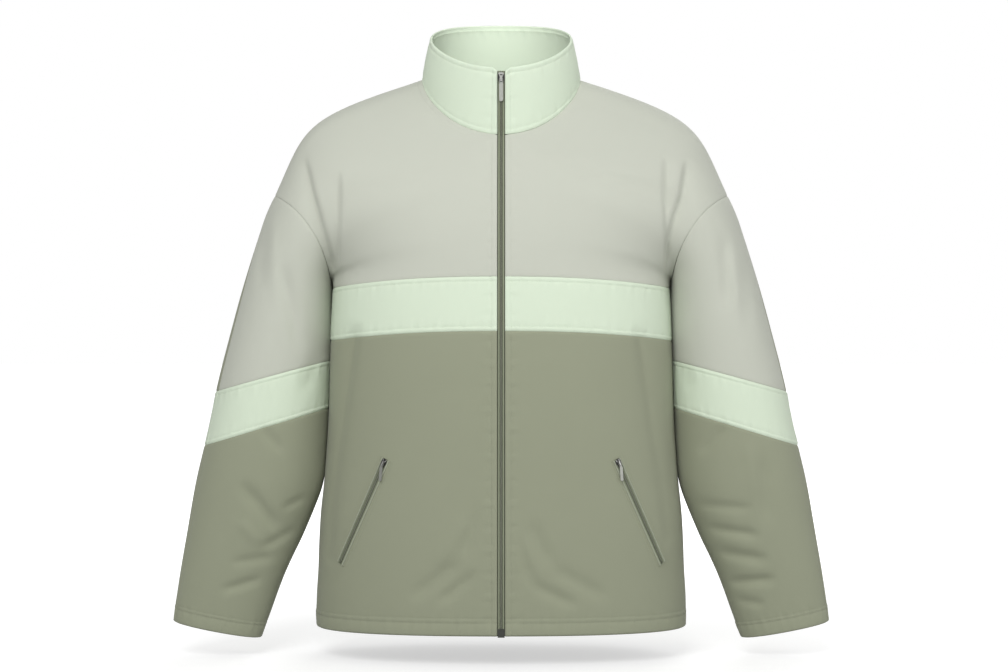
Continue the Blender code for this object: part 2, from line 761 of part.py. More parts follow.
def place(name, mesh, look, parent):
    made = bpy.data.objects.new(name, mesh)
    bpy.context.scene.collection.objects.link(made)
    made.parent = parent
    mesh.materials.append(material(name, look))
    mesh.shade_smooth()
    mesh.set_sharp_from_angle(angle=SHARP_ANGLE)
    return made


def row_walls(name, rows):
    """Wall thickness of each row of a piece; the turned hem and cuffs are double."""
    walls = np.full(rows, WALL)
    if "lower" in name:
        walls[:2] = HEM_WALL
    return walls[:, None]


def look_of(name):
    if "band" in name:
        return MINT
    if "lower" in name or "back" in name:
        return SAGE
    return PALE


def make_panels(parent):
    """Every cloth piece but the collar; returns their grids and normals for what is sewn on them."""
    grids = {**body_grids(), **sleeve_grids()}
    normals = shared_normals(grids)
    pieces = {}
    for name, grid in grids.items():
        patch = (grid, normals[name], row_walls(name, len(grid)))
        pieces.setdefault(whole_piece(name), []).append(patch)
    for name, patches in pieces.items():
        place(name, cloth_mesh(name, patches), look_of(name), parent)
    return grids, normals


def whole_piece(name):
    """The body's back is cut in one piece, so its left and right grids are joined."""
    if name.startswith("back_"):
        return name.removesuffix("_left").removesuffix("_right")
    return name


# ---------------------------------------------------------------- collar


def collar_turns():
    """The collar's columns start where the yoke's rows meet the neck, with one more at its front corner."""
    front = neck_row_turns("front")
    back = neck_row_turns("back")[::-1]
    corner = math.asin((ZIP_HALF_OPENING + COLLAR_CORNER) / NECK_HALF_WIDTH)
    return np.concatenate([[front[0], corner], front[1:], back[1:]])


def collar_grid():
    """The whole collar, from its left front edge round the back to its right front edge."""
    turns = collar_turns()
    base = neck_point(turns)
    first, second = base[0], base[2]
    share = (base[1, 0] - first[0]) / (second[0] - first[0])
    base[1] = first + (second - first) * share
    rim = rim_point(turns)
    rim[0, 0] = ZIP_HALF_OPENING
    rim[0, 2] -= COLLAR_CORNER_DROP
    outward = unit((base + rim) / 2 * np.array([1.0, 1.0, 0.0]))
    rows = []
    for row in range(COLLAR_ROWS + 1):
        share = row / COLLAR_ROWS
        swell = COLLAR_SWELL * math.sin(share * math.pi)
        rows.append(base + (rim - base) * share + outward * swell * np.sin(turns)[:, None] ** 2)
    left = np.array(rows)
    return np.concatenate([left, mirrored(left)[:, 1:]], axis=1)


def make_collar(parent):
    """The collar stands on the neck seam, a seam gap above the yoke's edge."""
    grid = collar_grid()
    normals = unit(cell_normals(grid))
    raised = grid.copy()
    raised[0] += unit(grid[1] - grid[0]) * SEAM_GAP
    place("collar", cloth_mesh("collar", [(raised, normals, COLLAR_WALL)]), MINT, parent)
    return grid, normals


# ---------------------------------------------------------------- front zip


def toward_left(grid, side):
    """A side's own grid, mirrored if need be so that its first column is the front edge."""
    return grid if side == "left" else mirrored(grid)


def front_line(grids, normals, collar, side):
    """The front edge from the hem up to the collar's top: points, normals, next column and wall thickness."""
    points, facing, beside, walls = [], [], [], []
    for name in ("front_lower", "front_band", "front_upper"):
        grid = toward_left(grids[f"{name}_{side}"], side)
        normal = toward_left(normals[f"{name}_{side}"], side)
        last = centre_cells("front") if "upper" in name else len(grid)
        first = 0 if "lower" in name else 1
        points += list(grid[first:last, 0])
        beside += list(grid[first:last, 1])
        facing += list(normal[first:last, 0])
        walls += list(row_walls(name, len(grid))[first:last, 0])
    grid, normal = (toward_left(part, side) for part in collar)
    points += list(grid[:, 0])
    beside += list(grid[:, 1])
    facing += list(normal[:, 0])
    facing[-len(grid)] = unit(facing[-len(grid)] + facing[-len(grid) - 1])
    walls += [COLLAR_WALL] * len(grid)
    return np.array(points), np.array(facing), np.array(beside), np.array(walls)


def zip_surface(line):
    """The zip's own centre line, the way it faces and how deep its tape lies behind the front edges."""
    points, facing, _, walls = line
    centre = points * np.array([0.0, 1.0, 1.0])
    straight = unit(facing * np.array([0.0, 1.0, 1.0]))
    return centre, straight, walls + SEAM_GAP


def tape_sections(line, split):
    """Across each row of the left tape: its inner edge, the front edge and its hidden outer edge."""
    points, facing, beside, _ = line
    centre, straight, depth = zip_surface(line)
    reach = (TAPE_REACH - ZIP_HALF_OPENING) / np.linalg.norm(beside - points, axis=1)
    hidden = points + (beside - points) * reach[:, None]
    inner_edge_points = centre + np.array([1.0, 0.0, 0.0]) * split[:, None]
    front = np.stack([inner_edge_points, points, hidden], axis=1)
    ways = np.stack([straight, facing, facing], axis=1)
    outer = front - ways * depth[:, None, None]
    inner = outer - ways * TAPE_THICKNESS
    return outer, inner


def make_tape(parent, line, side):
    """One tape, from the hem to the collar's top; its inner edge gives way at the slider's neck."""
    split = np.full(len(line[0]), TAPE_SPLIT)
    split[line[0][:, 2] > SLIDER_TOP_Z - SLIDER_LENGTH] = TAPE_SPLIT_AT_SLIDER
    outer, inner = tape_sections(line, split)
    name = f"zip_tape_{side}"
    place(name, strip_mesh(name, toward_left(outer, side), toward_left(inner, side)), TAPE_SAGE, parent)


def make_coil(parent, line):
    """The zip's coil, one strip behind both tapes from the hem up to the slider's neck."""
    centre, straight, depth = zip_surface(line)
    below = centre[:, 2] < SLIDER_TOP_Z - SLIDER_LENGTH
    centre, straight, depth = centre[below], straight[below], depth[below]
    face = centre - straight * (depth + TAPE_THICKNESS + SEAM_GAP)[:, None]
    back = face - straight * COIL_THICKNESS
    aside = np.array([COIL_HALF_WIDTH, 0.0, 0.0])
    outer = np.stack([face - aside, face + aside], axis=1)
    inner = np.stack([back - aside, back + aside], axis=1)
    place("zip_coil", strip_mesh("zip_coil", outer, inner), TAPE_SAGE, parent)


def at_height(line, z):
    """Centre, upward way and outward way of the zip's tape face at one height."""
    centre, straight, depth = zip_surface(line)
    face = centre - straight * depth[:, None]
    point = np.array([0.0, np.interp(z, centre[:, 2], face[:, 1]), z])
    cell = min(max(int(np.searchsorted(centre[:, 2], z)) - 1, 0), len(centre) - 2)
    upward = unit(face[cell + 1] - face[cell])
    outward = unit(np.cross(np.array([1.0, 0.0, 0.0]), upward))
    return point, upward, outward


# ---------------------------------------------------------------- small hard parts


def add_box(mesh, low, high):
    """Adds a box between two corners, in a part's own axes: across, outward, upward."""
    made = bmesh.ops.create_cube(mesh, size=1.0)
    size = [high[axis] - low[axis] for axis in range(3)]
    middle = [(high[axis] + low[axis]) / 2 for axis in range(3)]
    bmesh.ops.scale(mesh, vec=size, verts=made["verts"])
    bmesh.ops.translate(mesh, vec=middle, verts=made["verts"])
    return made["verts"]


def finished(mesh, name):
    data = bpy.data.meshes.new(name)
    bmesh.ops.recalc_face_normals(mesh, faces=mesh.faces)
    mesh.to_mesh(data)
    mesh.free()
    return data


def helper(name, low, high, parent):
    mesh = bmesh.new()
    add_box(mesh, low, high)
    made = bpy.data.objects.new(name, finished(mesh, name))
    bpy.context.scene.collection.objects.link(made)
    made.parent = parent
    made.hide_render = True
    made.display_type = "WIRE"
    return made


def combine(target, other, operation):
    step = target.modifiers.new(other.name, "BOOLEAN")
    step.operation = operation
    step.object = other
    step.solver = "EXACT"


def frame_at(name, point, upward, outward, parent):
    """An empty whose X runs across, Y outward and Z upward along the cloth."""
    across = np.cross(outward, upward)
    frame = bpy.data.objects.new(name, None)
    bpy.context.scene.collection.objects.link(frame)
    turn = Matrix([across, outward, upward]).transposed().to_4x4()
    frame.matrix_world = Matrix.Translation(Vector(point)) @ turn
    frame.parent = parent
    return frame


def plate_outline(scale):
    """The slider's outline seen from the front: across and upward from its middle."""
    wide, half = SLIDER_HALF_WIDTH * scale, SLIDER_LENGTH * scale / 2
    right = [(corner.across * wide, corner.up * half) for corner in SLIDER_CORNERS]
    return right + [(-across, up) for across, up in reversed(right)]


def plate_mesh(name, outline, low, high):
    """A flat plate: an outline seen from the front, given a thickness from low to high."""
    mesh = bmesh.new()
    face = mesh.faces.new([mesh.verts.new((across, low, up)) for across, up in outline])
    raised = bmesh.ops.extrude_face_region(mesh, geom=[face])
    moved = [part for part in raised["geom"] if isinstance(part, bmesh.types.BMVert)]
    bmesh.ops.translate(mesh, vec=(0.0, high - low, 0.0), verts=moved)
    return finished(mesh, name)


def make_slider(name, frame, scale, through):
    """Slider: a front plate with a bridge for the pull and, on the front zip, a neck and a back plate."""
    low = SEAM_GAP
    high = SEAM_GAP + SLIDER_PLATE * scale
    slider = place(name, plate_mesh(name, plate_outline(scale), low, high), STEEL, frame)
    wide, long = BRIDGE_HALF_WIDTH * scale, BRIDGE_HALF_LENGTH * scale
    top = high + (BRIDGE_ROOM + BRIDGE_STRAP) * scale
    arch = helper(f"{name}_arch", (-wide, high - SLIDER_PLATE / 3, -long), (wide, top, long), frame)
    opening = helper(
        f"{name}_opening",
        (-2 * wide, high, -long + BRIDGE_STRAP * scale),
        (2 * wide, high + BRIDGE_ROOM * scale, long - BRIDGE_STRAP * scale),
        frame,
    )
    combine(arch, opening, "DIFFERENCE")
    combine(slider, arch, "UNION")
    if through:
        back_face = -(TAPE_THICKNESS + COIL_THICKNESS + 2 * SEAM_GAP)
        low_corner = (-BACK_HALF_WIDTH, back_face - SLIDER_PLATE, -BACK_HALF_LENGTH)
        back = helper(f"{name}_back", low_corner, (BACK_HALF_WIDTH, back_face, BACK_HALF_LENGTH), frame)
        low_corner = (-NECK_HALF, back_face - SLIDER_PLATE / 2, NECK_LOW)
        neck = helper(f"{name}_neck", low_corner, (NECK_HALF, high - SLIDER_PLATE / 2, NECK_HIGH), frame)
        combine(slider, back, "UNION")
        combine(slider, neck, "UNION")
    return slider


def hung(points, pivot, lean):
    """Turns the points below a pivot about it, so that a tab hangs aside from its eye."""
    turned = []
    for across, up in points:
        below = up - pivot
        if below < 0.0:
            across, below = (
                across * math.cos(lean) - below * math.sin(lean),
                across * math.sin(lean) + below * math.cos(lean),
            )
        turned.append((across, pivot + below))
    return turned


def pull_outline(scale, lean):
    """The pull's outline, hanging from its hinge: an eye and a longer tab, turned aside by the lean."""
    wide, length = PULL_HALF_WIDTH * scale, PULL_LENGTH * scale
    right = [(corner.across * wide, corner.up * length) for corner in PULL_CORNERS]
    pivot = -PULL_PIVOT * length
    return hung(right + [(-across, up) for across, up in reversed(right)], pivot, lean)


def make_pull(name, frame, scale, lean):
    """The pull's origin is on its hinge, in the middle of the bridge; lean turns its tab aside."""
    outward = SEAM_GAP + (SLIDER_PLATE + BRIDGE_ROOM / 2) * scale
    half = PULL_THICKNESS * scale / 2
    pull = place(name, plate_mesh(name, pull_outline(scale, lean), -half, half), STEEL, frame)
    pull.location = (0.0, outward, 0.0)
    hole = PULL_EYE_HALF_WIDTH * scale
    bottom = -PULL_EYE * scale + half
    window = helper(f"{name}_window", (-hole, -2 * half, bottom), (hole, 2 * half, -half), pull)
    combine(pull, window, "DIFFERENCE")


def make_front_slider(parent, line):
    middle_z = SLIDER_TOP_Z - SLIDER_LENGTH / 2
    frame = frame_at("zip_slider_frame", *at_height(line, middle_z), parent)
    make_slider("zip_slider", frame, 1.0, True)
    make_pull("zip_pull", frame, 1.0, 0.0)


def make_box_end(parent, line):
    """The box that joins the two tapes at the hem."""
    bottom = HEM.centre_z - BOX_BELOW_HEM
    point, upward, outward = at_height(line, HEM.centre_z)
    frame = frame_at("zip_box_frame", point, upward, outward, parent)
    mesh = bmesh.new()
    low = (-BOX_HALF_WIDTH, SEAM_GAP, bottom - HEM.centre_z)
    high = (BOX_HALF_WIDTH, SEAM_GAP + BOX_THICKNESS, low[2] + BOX_HEIGHT)
    add_box(mesh, low, high)
    place("zip_box", finished(mesh, "zip_box"), STEEL, frame)


# ---------------------------------------------------------------- pocket zips


def on_panel(grid, normals, x, z):
    """The panel's own faceted surface at a place in the front view, with its normal there."""
    rows, columns = grid.shape[:2]
    for row in range(rows - 1):
        for column in range(columns - 1):
            a, b = (row, column), (row, column + 1)
            c, d = (row + 1, column + 1), (row + 1, column)
            for corners in ((a, b, c), (a, c, d)):
                flat = np.array([[grid[at][0], grid[at][2], 1.0] for at in corners]).T
                shares = np.linalg.solve(flat, np.array([x, z, 1.0]))
                if shares.min() >= -1e-9:
                    point = sum(share * grid[at] for share, at in zip(shares, corners))
                    normal = unit(sum(share * normals[at] for share, at in zip(shares, corners)))
                    return point, normal
    raise ValueError("that place is not on the panel")


def pocket_rows(grids, normals, side):
    """Each row of the pocket zip: its middle on the panel, its normal and the way across it."""
    sign = 1.0 if side == "left" else -1.0
    name = f"front_lower_{side}"
    rows = []
    for step in range(POCKET_STEPS + 1):
        share = step / POCKET_STEPS
        x = POCKET_BOTTOM.x + (POCKET_TOP.x - POCKET_BOTTOM.x) * share
        z = POCKET_BOTTOM.z + (POCKET_TOP.z - POCKET_BOTTOM.z) * share
        rows.append(on_panel(grids[name], normals[name], sign * x, z))
    middle = np.array([row[0] for row in rows])
    facing = unit(np.array([row[1] for row in rows]))
    across = unit(np.cross(np.gradient(middle, axis=0), facing))
    return middle, facing, across


def make_pocket(parent, grids, normals, side):
    middle, facing, across = pocket_rows(grids, normals, side)
    base = middle + facing * SEAM_GAP * 2
    aside = across * POCKET_HALF_WIDTH
    inner = np.stack([base - aside, base + aside], axis=1)
    outer = inner + facing[:, None] * POCKET_THICKNESS
    name = f"pocket_zip_{side}"
    place(name, strip_mesh(name, outer, inner), TAPE_SAGE, parent)
    run = middle[-1] - middle[-2]
    top = middle[-2] + run * POCKET_SLIDER_SHARE + facing[-1] * (SEAM_GAP * 2 + POCKET_THICKNESS)
    upward = unit(run)
    outward = unit(facing[-1] - upward * np.dot(facing[-1], upward))
    frame = frame_at(f"pocket_frame_{side}", top, upward, outward, parent)
    make_slider(f"pocket_slider_{side}", frame, POCKET_SCALE, False)
    across = np.cross(outward, upward)
    lean = -math.atan2(across[2], upward[2]) * POCKET_PULL_HANG
    make_pull(f"pocket_pull_{side}", frame, POCKET_SCALE, lean)


def main():
    clear_scene()
    garment = bpy.data.objects.new("garment", None)
    bpy.context.scene.collection.objects.link(garment)
    grids, normals = make_panels(garment)
    collar = make_collar(garment)
    for side in ("left", "right"):
        make_tape(garment, front_line(grids, normals, collar, side), side)
        make_pocket(garment, grids, normals, side)
    line = front_line(grids, normals, collar, "left")
    make_coil(garment, line)
    make_front_slider(garment, line)
    make_box_end(garment, line)


main()
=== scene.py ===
"""The looks of a zip-up sweatshirt of soft knit in three colours, filled out as it is worn.

Metres, +Z up. The front faces -Y and the wearer's left side is +X.
"""

from collections import namedtuple
import math

import bmesh
import bpy
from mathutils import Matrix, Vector
from mathutils.bvhtree import BVHTree
import numpy as np


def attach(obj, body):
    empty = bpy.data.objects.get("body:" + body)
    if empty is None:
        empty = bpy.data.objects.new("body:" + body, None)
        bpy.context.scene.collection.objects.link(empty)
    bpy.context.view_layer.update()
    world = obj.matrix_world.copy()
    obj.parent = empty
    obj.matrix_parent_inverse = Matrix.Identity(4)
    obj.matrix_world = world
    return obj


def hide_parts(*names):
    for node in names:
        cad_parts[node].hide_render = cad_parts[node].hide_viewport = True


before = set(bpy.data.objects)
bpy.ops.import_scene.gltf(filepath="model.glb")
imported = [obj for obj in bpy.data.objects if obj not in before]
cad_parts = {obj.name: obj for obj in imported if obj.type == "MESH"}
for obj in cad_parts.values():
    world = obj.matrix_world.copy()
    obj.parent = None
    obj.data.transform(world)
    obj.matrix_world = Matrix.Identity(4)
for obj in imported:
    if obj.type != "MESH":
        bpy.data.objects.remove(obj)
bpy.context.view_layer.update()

# ---------------------------------------------------------------- the knit
# All panels are a mid-weight cotton knit. Its face shows fine columns of V loops under a short nap, and it
# is dyed pale grey green, mint and sage. Every panel keeps its own places across and along the loops.

LOOP_WIDTH = 0.0011
LOOP_HEIGHT = 0.0009
LOOP_SLANT = 0.6
LOOP_VALLEY = 0.35
NAP = 0.5
NAP_SCALE = 1500.0
WEAVE_SCALE = 2200.0
CLOUD_SCALE = 11.0
# The knit's tone at the bottom of the loops' hollows, and how much lighter it is on top of the loops: painted
# shade.
VALLEY_PAINTED_TONE = 0.955
LOOP_PAINTED_SHADE = 0.05
CLOUD_SHADE = 0.03
GRAIN_SHADE = 0.3
WHITE = (1.0, 1.0, 1.0, 1.0)
PALE = (0.560, 0.580, 0.502)
MINT = (0.700, 0.800, 0.640)
SAGE = (0.314, 0.333, 0.238)


def new_group(name, inputs, outputs):
    """A node group with named inputs, each a colour or a number, and outputs, of which Colour is a colour."""
    tree = bpy.data.node_groups.new(name, "ShaderNodeTree")
    for label, value in inputs.items():
        kind = "NodeSocketColor" if label == "Colour" else "NodeSocketFloat"
        tree.interface.new_socket(label, in_out="INPUT", socket_type=kind).default_value = value
    for label in outputs:
        kind = "NodeSocketColor" if label == "Colour" else "NodeSocketFloat"
        tree.interface.new_socket(label, in_out="OUTPUT", socket_type=kind)
    return tree, tree.nodes.new("NodeGroupInput").outputs, tree.nodes.new("NodeGroupOutput").inputs


def feed(tree, socket, value):
    if isinstance(value, bpy.types.NodeSocket):
        tree.links.new(value, socket)
    else:
        socket.default_value = value


def add_node(tree, kind, **values):
    """A new node whose inputs, named with low lines for spaces, are set to values or linked to sockets."""
    node = tree.nodes.new(f"ShaderNode{kind}")
    set_inputs(tree, node, **values)
    return node


def set_inputs(tree, node, **values):
    for label, value in values.items():
        feed(tree, node.inputs[label.replace("_", " ")], value)


def calculate(tree, operation, *values, kind="Math"):
    node = add_node(tree, kind)
    node.operation = operation
    for socket, value in zip(node.inputs, values):
        feed(tree, socket, value)
    return node.outputs["Value"]


def scaled_colour(tree, colour, factor):
    node = add_node(tree, "VectorMath")
    node.operation = "SCALE"
    feed(tree, node.inputs[0], colour)
    feed(tree, node.inputs["Scale"], factor)
    return node.outputs["Vector"]


def object_place(tree):
    return add_node(tree, "TexCoord").outputs["Object"]


def noise(tree, scale, detail):
    return add_node(tree, "TexNoise", Scale=scale, Detail=detail, Vector=object_place(tree)).outputs["Fac"]


def make_knit_group():
    """Columns of V loops with a nap: a colour that varies a little at random and is darker in the loops'
    hollows, which is painted shade, and the height of the loops.
    """
    tree, given, wanted = new_group(
        "knit_loops",
        {"Colour": WHITE, "Loop Width": LOOP_WIDTH, "Loop Height": LOOP_HEIGHT, "Nap": NAP},
        ("Colour", "Height"),
    )
    place = add_node(tree, "Attribute")
    place.attribute_name = "cloth_place"
    split = add_node(tree, "SeparateXYZ", Vector=place.outputs["Vector"])
    column = calculate(tree, "FRACT", calculate(tree, "DIVIDE", split.outputs["X"], given["Loop Width"]))
    aside = calculate(tree, "ABSOLUTE", calculate(tree, "SUBTRACT", column, 0.5))
    aside = calculate(tree, "MULTIPLY", aside, 2.0)
    row = calculate(tree, "DIVIDE", split.outputs["Y"], given["Loop Height"])
    row = calculate(tree, "FRACT", calculate(tree, "MULTIPLY_ADD", aside, LOOP_SLANT, row))
    leg = calculate(tree, "SINE", calculate(tree, "MULTIPLY", row, math.pi))
    ridge = calculate(tree, "SINE", calculate(tree, "MULTIPLY", aside, math.pi))
    ridge = calculate(tree, "MULTIPLY_ADD", ridge, 1.0 - LOOP_VALLEY, LOOP_VALLEY)
    loops = calculate(tree, "MULTIPLY", leg, ridge)
    nap = noise(tree, NAP_SCALE, 2.0)
    tree.links.new(calculate(tree, "MULTIPLY_ADD", nap, given["Nap"], loops), wanted["Height"])
    # Painted shade: the colour darkens where the loops' height sinks.
    shade = calculate(tree, "MULTIPLY_ADD", loops, LOOP_PAINTED_SHADE, VALLEY_PAINTED_TONE)
    shade = calculate(tree, "MULTIPLY_ADD", noise(tree, CLOUD_SCALE, 3.0), CLOUD_SHADE, shade)
    tree.links.new(scaled_colour(tree, given["Colour"], shade), wanted["Colour"])
    return tree


def make_grain_group():
    """Woven, twisted or scratched: a colour whose tone varies with a fine grain, and the grain itself."""
    inputs = {"Colour": WHITE, "Scale": WEAVE_SCALE, "Detail": 2.0}
    tree, given, wanted = new_group("fine_grain", inputs, ("Colour", "Grain"))
    grain = noise(tree, given["Scale"], given["Detail"])
    tree.links.new(grain, wanted["Grain"])
    shade = calculate(tree, "MULTIPLY_ADD", grain, GRAIN_SHADE, 1.0 - GRAIN_SHADE / 2)
    tree.links.new(scaled_colour(tree, given["Colour"], shade), wanted["Colour"])
    return tree


KNIT_LOOPS = make_knit_group()
FINE_GRAIN = make_grain_group()


def new_material(name, **values):
    """A material, its nodes and its shader, whose inputs are set to the values."""
    made = bpy.data.materials.new(name)
    made.use_nodes = True
    shader = made.node_tree.nodes["Principled BSDF"]
    set_inputs(made.node_tree, shader, **values)
    return made, made.node_tree, shader


def colour_by(tree, shader, group, **values):
    """Colours a shader by a node group with its own values, and returns what the group gives."""
    node = tree.nodes.new("ShaderNodeGroup")
    node.node_tree = group
    set_inputs(tree, node, **values)
    set_inputs(tree, shader, Base_Color=node.outputs["Colour"])
    return node.outputs


def add_bump(tree, shader, height, distance, strength):
    bump = add_node(tree, "Bump", Distance=distance, Strength=strength, Height=height)
    set_inputs(tree, shader, Normal=bump.outputs["Normal"])


def knit_material(name, colour):
    made, tree, shader = new_material(
        name, Roughness=0.93, Specular_IOR_Level=0.25, Sheen_Weight=0.12, Sheen_Roughness=0.5
    )
    loops = colour_by(tree, shader, KNIT_LOOPS, Colour=(*colour, 1.0))
    add_bump(tree, shader, loops["Height"], 0.0003, 0.35)
    return made


KNITS = {
    "pale_knit": knit_material("soft_pale_knit", PALE),
    "mint_knit": knit_material("soft_mint_knit", MINT),
    "sage_knit": knit_material("soft_sage_knit", SAGE),
}

# ---------------------------------------------------------------- body below the chest
# The lower body is one panel for each front and one for the whole back, with the mint chest band above them
# cut the same way. Each runs round the chest as a full oval, filled out by the wearer.

ROWS_FINE = 12
FINE = 240
FRONT_COLUMNS = 14
LOWER_ROWS = 10
BAND_ROWS = 2
BODY_ROUNDNESS = 2.3
SIDE_Y = -0.005
ZIP_HALF_OPENING = 0.0047

Seam = namedtuple("Seam", "centre_z side_drop")
BAND_TOP = Seam(-0.248, 0.012)
BAND_BOTTOM = Seam(-0.314, 0.012)
HEM = Seam(-0.684, 0.001)

Profile = namedtuple("Profile", "z front_y back_y")
BODY_PROFILE = [
    Profile(-0.700, -0.139, 0.121),
    Profile(-0.684, -0.140, 0.121),
    Profile(-0.600, -0.144, 0.116),
    Profile(-0.500, -0.147, 0.110),
    Profile(-0.400, -0.151, 0.112),
    Profile(-0.314, -0.152, 0.118),
    Profile(-0.248, -0.150, 0.122),
    Profile(-0.190, -0.142, 0.122),
    Profile(-0.130, -0.122, 0.117),
    Profile(-0.072, -0.094, 0.105),
    Profile(-0.030, -0.080, 0.090),
    Profile(0.008, -0.070, 0.074),
]
Outline = namedtuple("Outline", "z x")
BODY_OUTLINE = [
    Outline(-0.700, 0.2322),
    Outline(-0.670, 0.2335),
    Outline(-0.610, 0.2310),
    Outline(-0.549, 0.2285),
    Outline(-0.505, 0.2240),
    Outline(-0.427, 0.2184),
    Outline(-0.326, 0.2156),
    Outline(-0.260, 0.2126),
    Outline(-0.240, 0.2100),
]


def smooth(low, high, at):
    """Rises smoothly from 0 at low to 1 at high."""
    share = np.clip((np.asarray(at, float) - low) / (high - low), 0.0, 1.0)
    return share * share * (3.0 - 2.0 * share)


def curve_between(t, span, low, high, low_slope, high_slope):
    """A smooth curve's value at a share t of the span between two points with given slopes."""
    start = (2 * t**3 - 3 * t**2 + 1) * low + (t**3 - 2 * t**2 + t) * span * low_slope
    end = (3 * t**2 - 2 * t**3) * high + (t**3 - t**2) * span * high_slope
    return start + end


def read_curve(keys, values, at):
    slopes = np.gradient(values, keys)
    at = np.clip(np.asarray(at, float), keys[0], keys[-1])
    cell = np.clip(np.searchsorted(keys, at, side="right") - 1, 0, len(keys) - 2)
    span = keys[cell + 1] - keys[cell]
    share = (at - keys[cell]) / span
    return curve_between(share, span, values[cell], values[cell + 1], slopes[cell], slopes[cell + 1])


def read(table, key, column, at):
    """Reads a column at any key, along a smooth curve through the table's rows."""
    rows = sorted(table, key=lambda row: getattr(row, key))
    keys = np.array([getattr(row, key) for row in rows])
    values = np.array([getattr(row, column) for row in rows])
    return read_curve(keys, values, at)


def rounded(value, roundness):
    """A sine or cosine bent so that an ellipse turns into a fuller oval."""
    return np.sign(value) * np.abs(value) ** (2.0 / roundness)


def unit(vectors):
    return vectors / np.maximum(np.linalg.norm(vectors, axis=-1, keepdims=True), 1e-12)


def stack(x, y, z):
    return np.stack(np.broadcast_arrays(x, y, z), axis=-1).astype(float)


def along(points):
    """How far each point lies from the line's start."""
    steps = np.linalg.norm(np.diff(points[..., :3], axis=0), axis=-1)
    return np.concatenate([np.zeros_like(steps[:1]), np.cumsum(steps, axis=0)])


def at_distances(points, wanted):
    reached = along(points)
    return np.stack([np.interp(wanted, reached, column) for column in points.T], axis=-1)


def spread(points, count):
    """Sets count + 1 points evenly along a line of many points."""
    return at_distances(points, np.linspace(0.0, along(points)[-1], count + 1))


def body_ring(seam, turn):
    """Points round the body at one level, from the centre front (0) by the left side to the back (pi)."""
    z = seam.centre_z - seam.side_drop * np.sin(turn) ** 2
    half_width = read(BODY_OUTLINE, "z", "x", seam.centre_z - seam.side_drop)
    front = SIDE_Y - read(BODY_PROFILE, "z", "front_y", seam.centre_z)
    back = read(BODY_PROFILE, "z", "back_y", seam.centre_z) - SIDE_Y
    forward = rounded(np.cos(turn), BODY_ROUNDNESS)
    depth = np.where(forward > 0, front, back)
    return stack(half_width * rounded(np.sin(turn), BODY_ROUNDNESS), SIDE_Y - depth * forward, z)


def body_row(part, seam):
    """One row of the left front or back, with its facing: 1 in front, 0 at the side and -1 behind."""
    half_width = read(BODY_OUTLINE, "z", "x", seam.centre_z - seam.side_drop)
    quarter = np.linspace(0.0, 1.0, FRONT_COLUMNS + 1) * math.pi / 2
    if part == "front":
        turns = (math.asin((ZIP_HALF_OPENING / half_width) ** (BODY_ROUNDNESS / 2)), math.pi / 2)
        facing = np.cos(quarter)
    else:
        turns = (math.pi / 2, math.pi)
        facing = -np.sin(quarter)
    points = spread(body_ring(seam, np.linspace(*turns, FINE)), FRONT_COLUMNS)
    return np.concatenate([points, facing[:, None]], axis=1)


def body_grid(part, low, high, rows):
    """Rows of one body panel's left half, from its lower seam up to its upper one."""
    low, high = np.array(low), np.array(high)
    shares = np.arange(rows + 1) / rows
    return np.array([body_row(part, Seam(*(low + (high - low) * share))) for share in shares])


def finer(line):
    """Smooth in-between points on each line of a grid, from row to row."""
    step = np.maximum(np.linalg.norm(np.diff(line[..., :3], axis=0), axis=-1), 1e-9)[..., None]
    secant = np.diff(line, axis=0) / step
    if len(line) == 2:
        slope = np.concatenate([secant, secant])
    else:
        inner = (secant[:-1] * step[1:] + secant[1:] * step[:-1]) / (step[:-1] + step[1:])
        slope = np.concatenate([2 * secant[:1] - inner[:1], inner, 2 * secant[-1:] - inner[-1:]])
    made = []
    for part in range(ROWS_FINE):
        made.append(curve_between(part / ROWS_FINE, step, line[:-1], line[1:], slope[:-1], slope[1:]))
    cells = np.stack(made, axis=1).reshape(-1, *line.shape[1:])
    return np.concatenate([cells, line[-1:]])


def turned(grid):
    """The grid with its columns as rows."""
    return np.swapaxes(grid, 0, 1)


# ---------------------------------------------------------------- sleeves
# Each sleeve is a tapering tube of three rings: upper, mint band and lower. Each ring is cut as a front and
# a back half, and the outer seam between them drifts a little forward from the armhole down.

SLEEVE_UPPER_ROWS = 10
SLEEVE_LOWER_ROWS = 14
ARMHOLE_CELLS = 12
SLEEVE_BAND_TOP = 6
SLEEVE_BAND_BOTTOM = 7
SLEEVE_ROUNDNESS = 2.15
SEAM_TURN_AT_ARMHOLE = {"left": math.radians(180), "right": math.radians(173)}
SEAM_TURN_BELOW = {"left": math.radians(162), "right": math.radians(156)}
SEAM_DRIFT_PLACES = (0.0, 3.5)

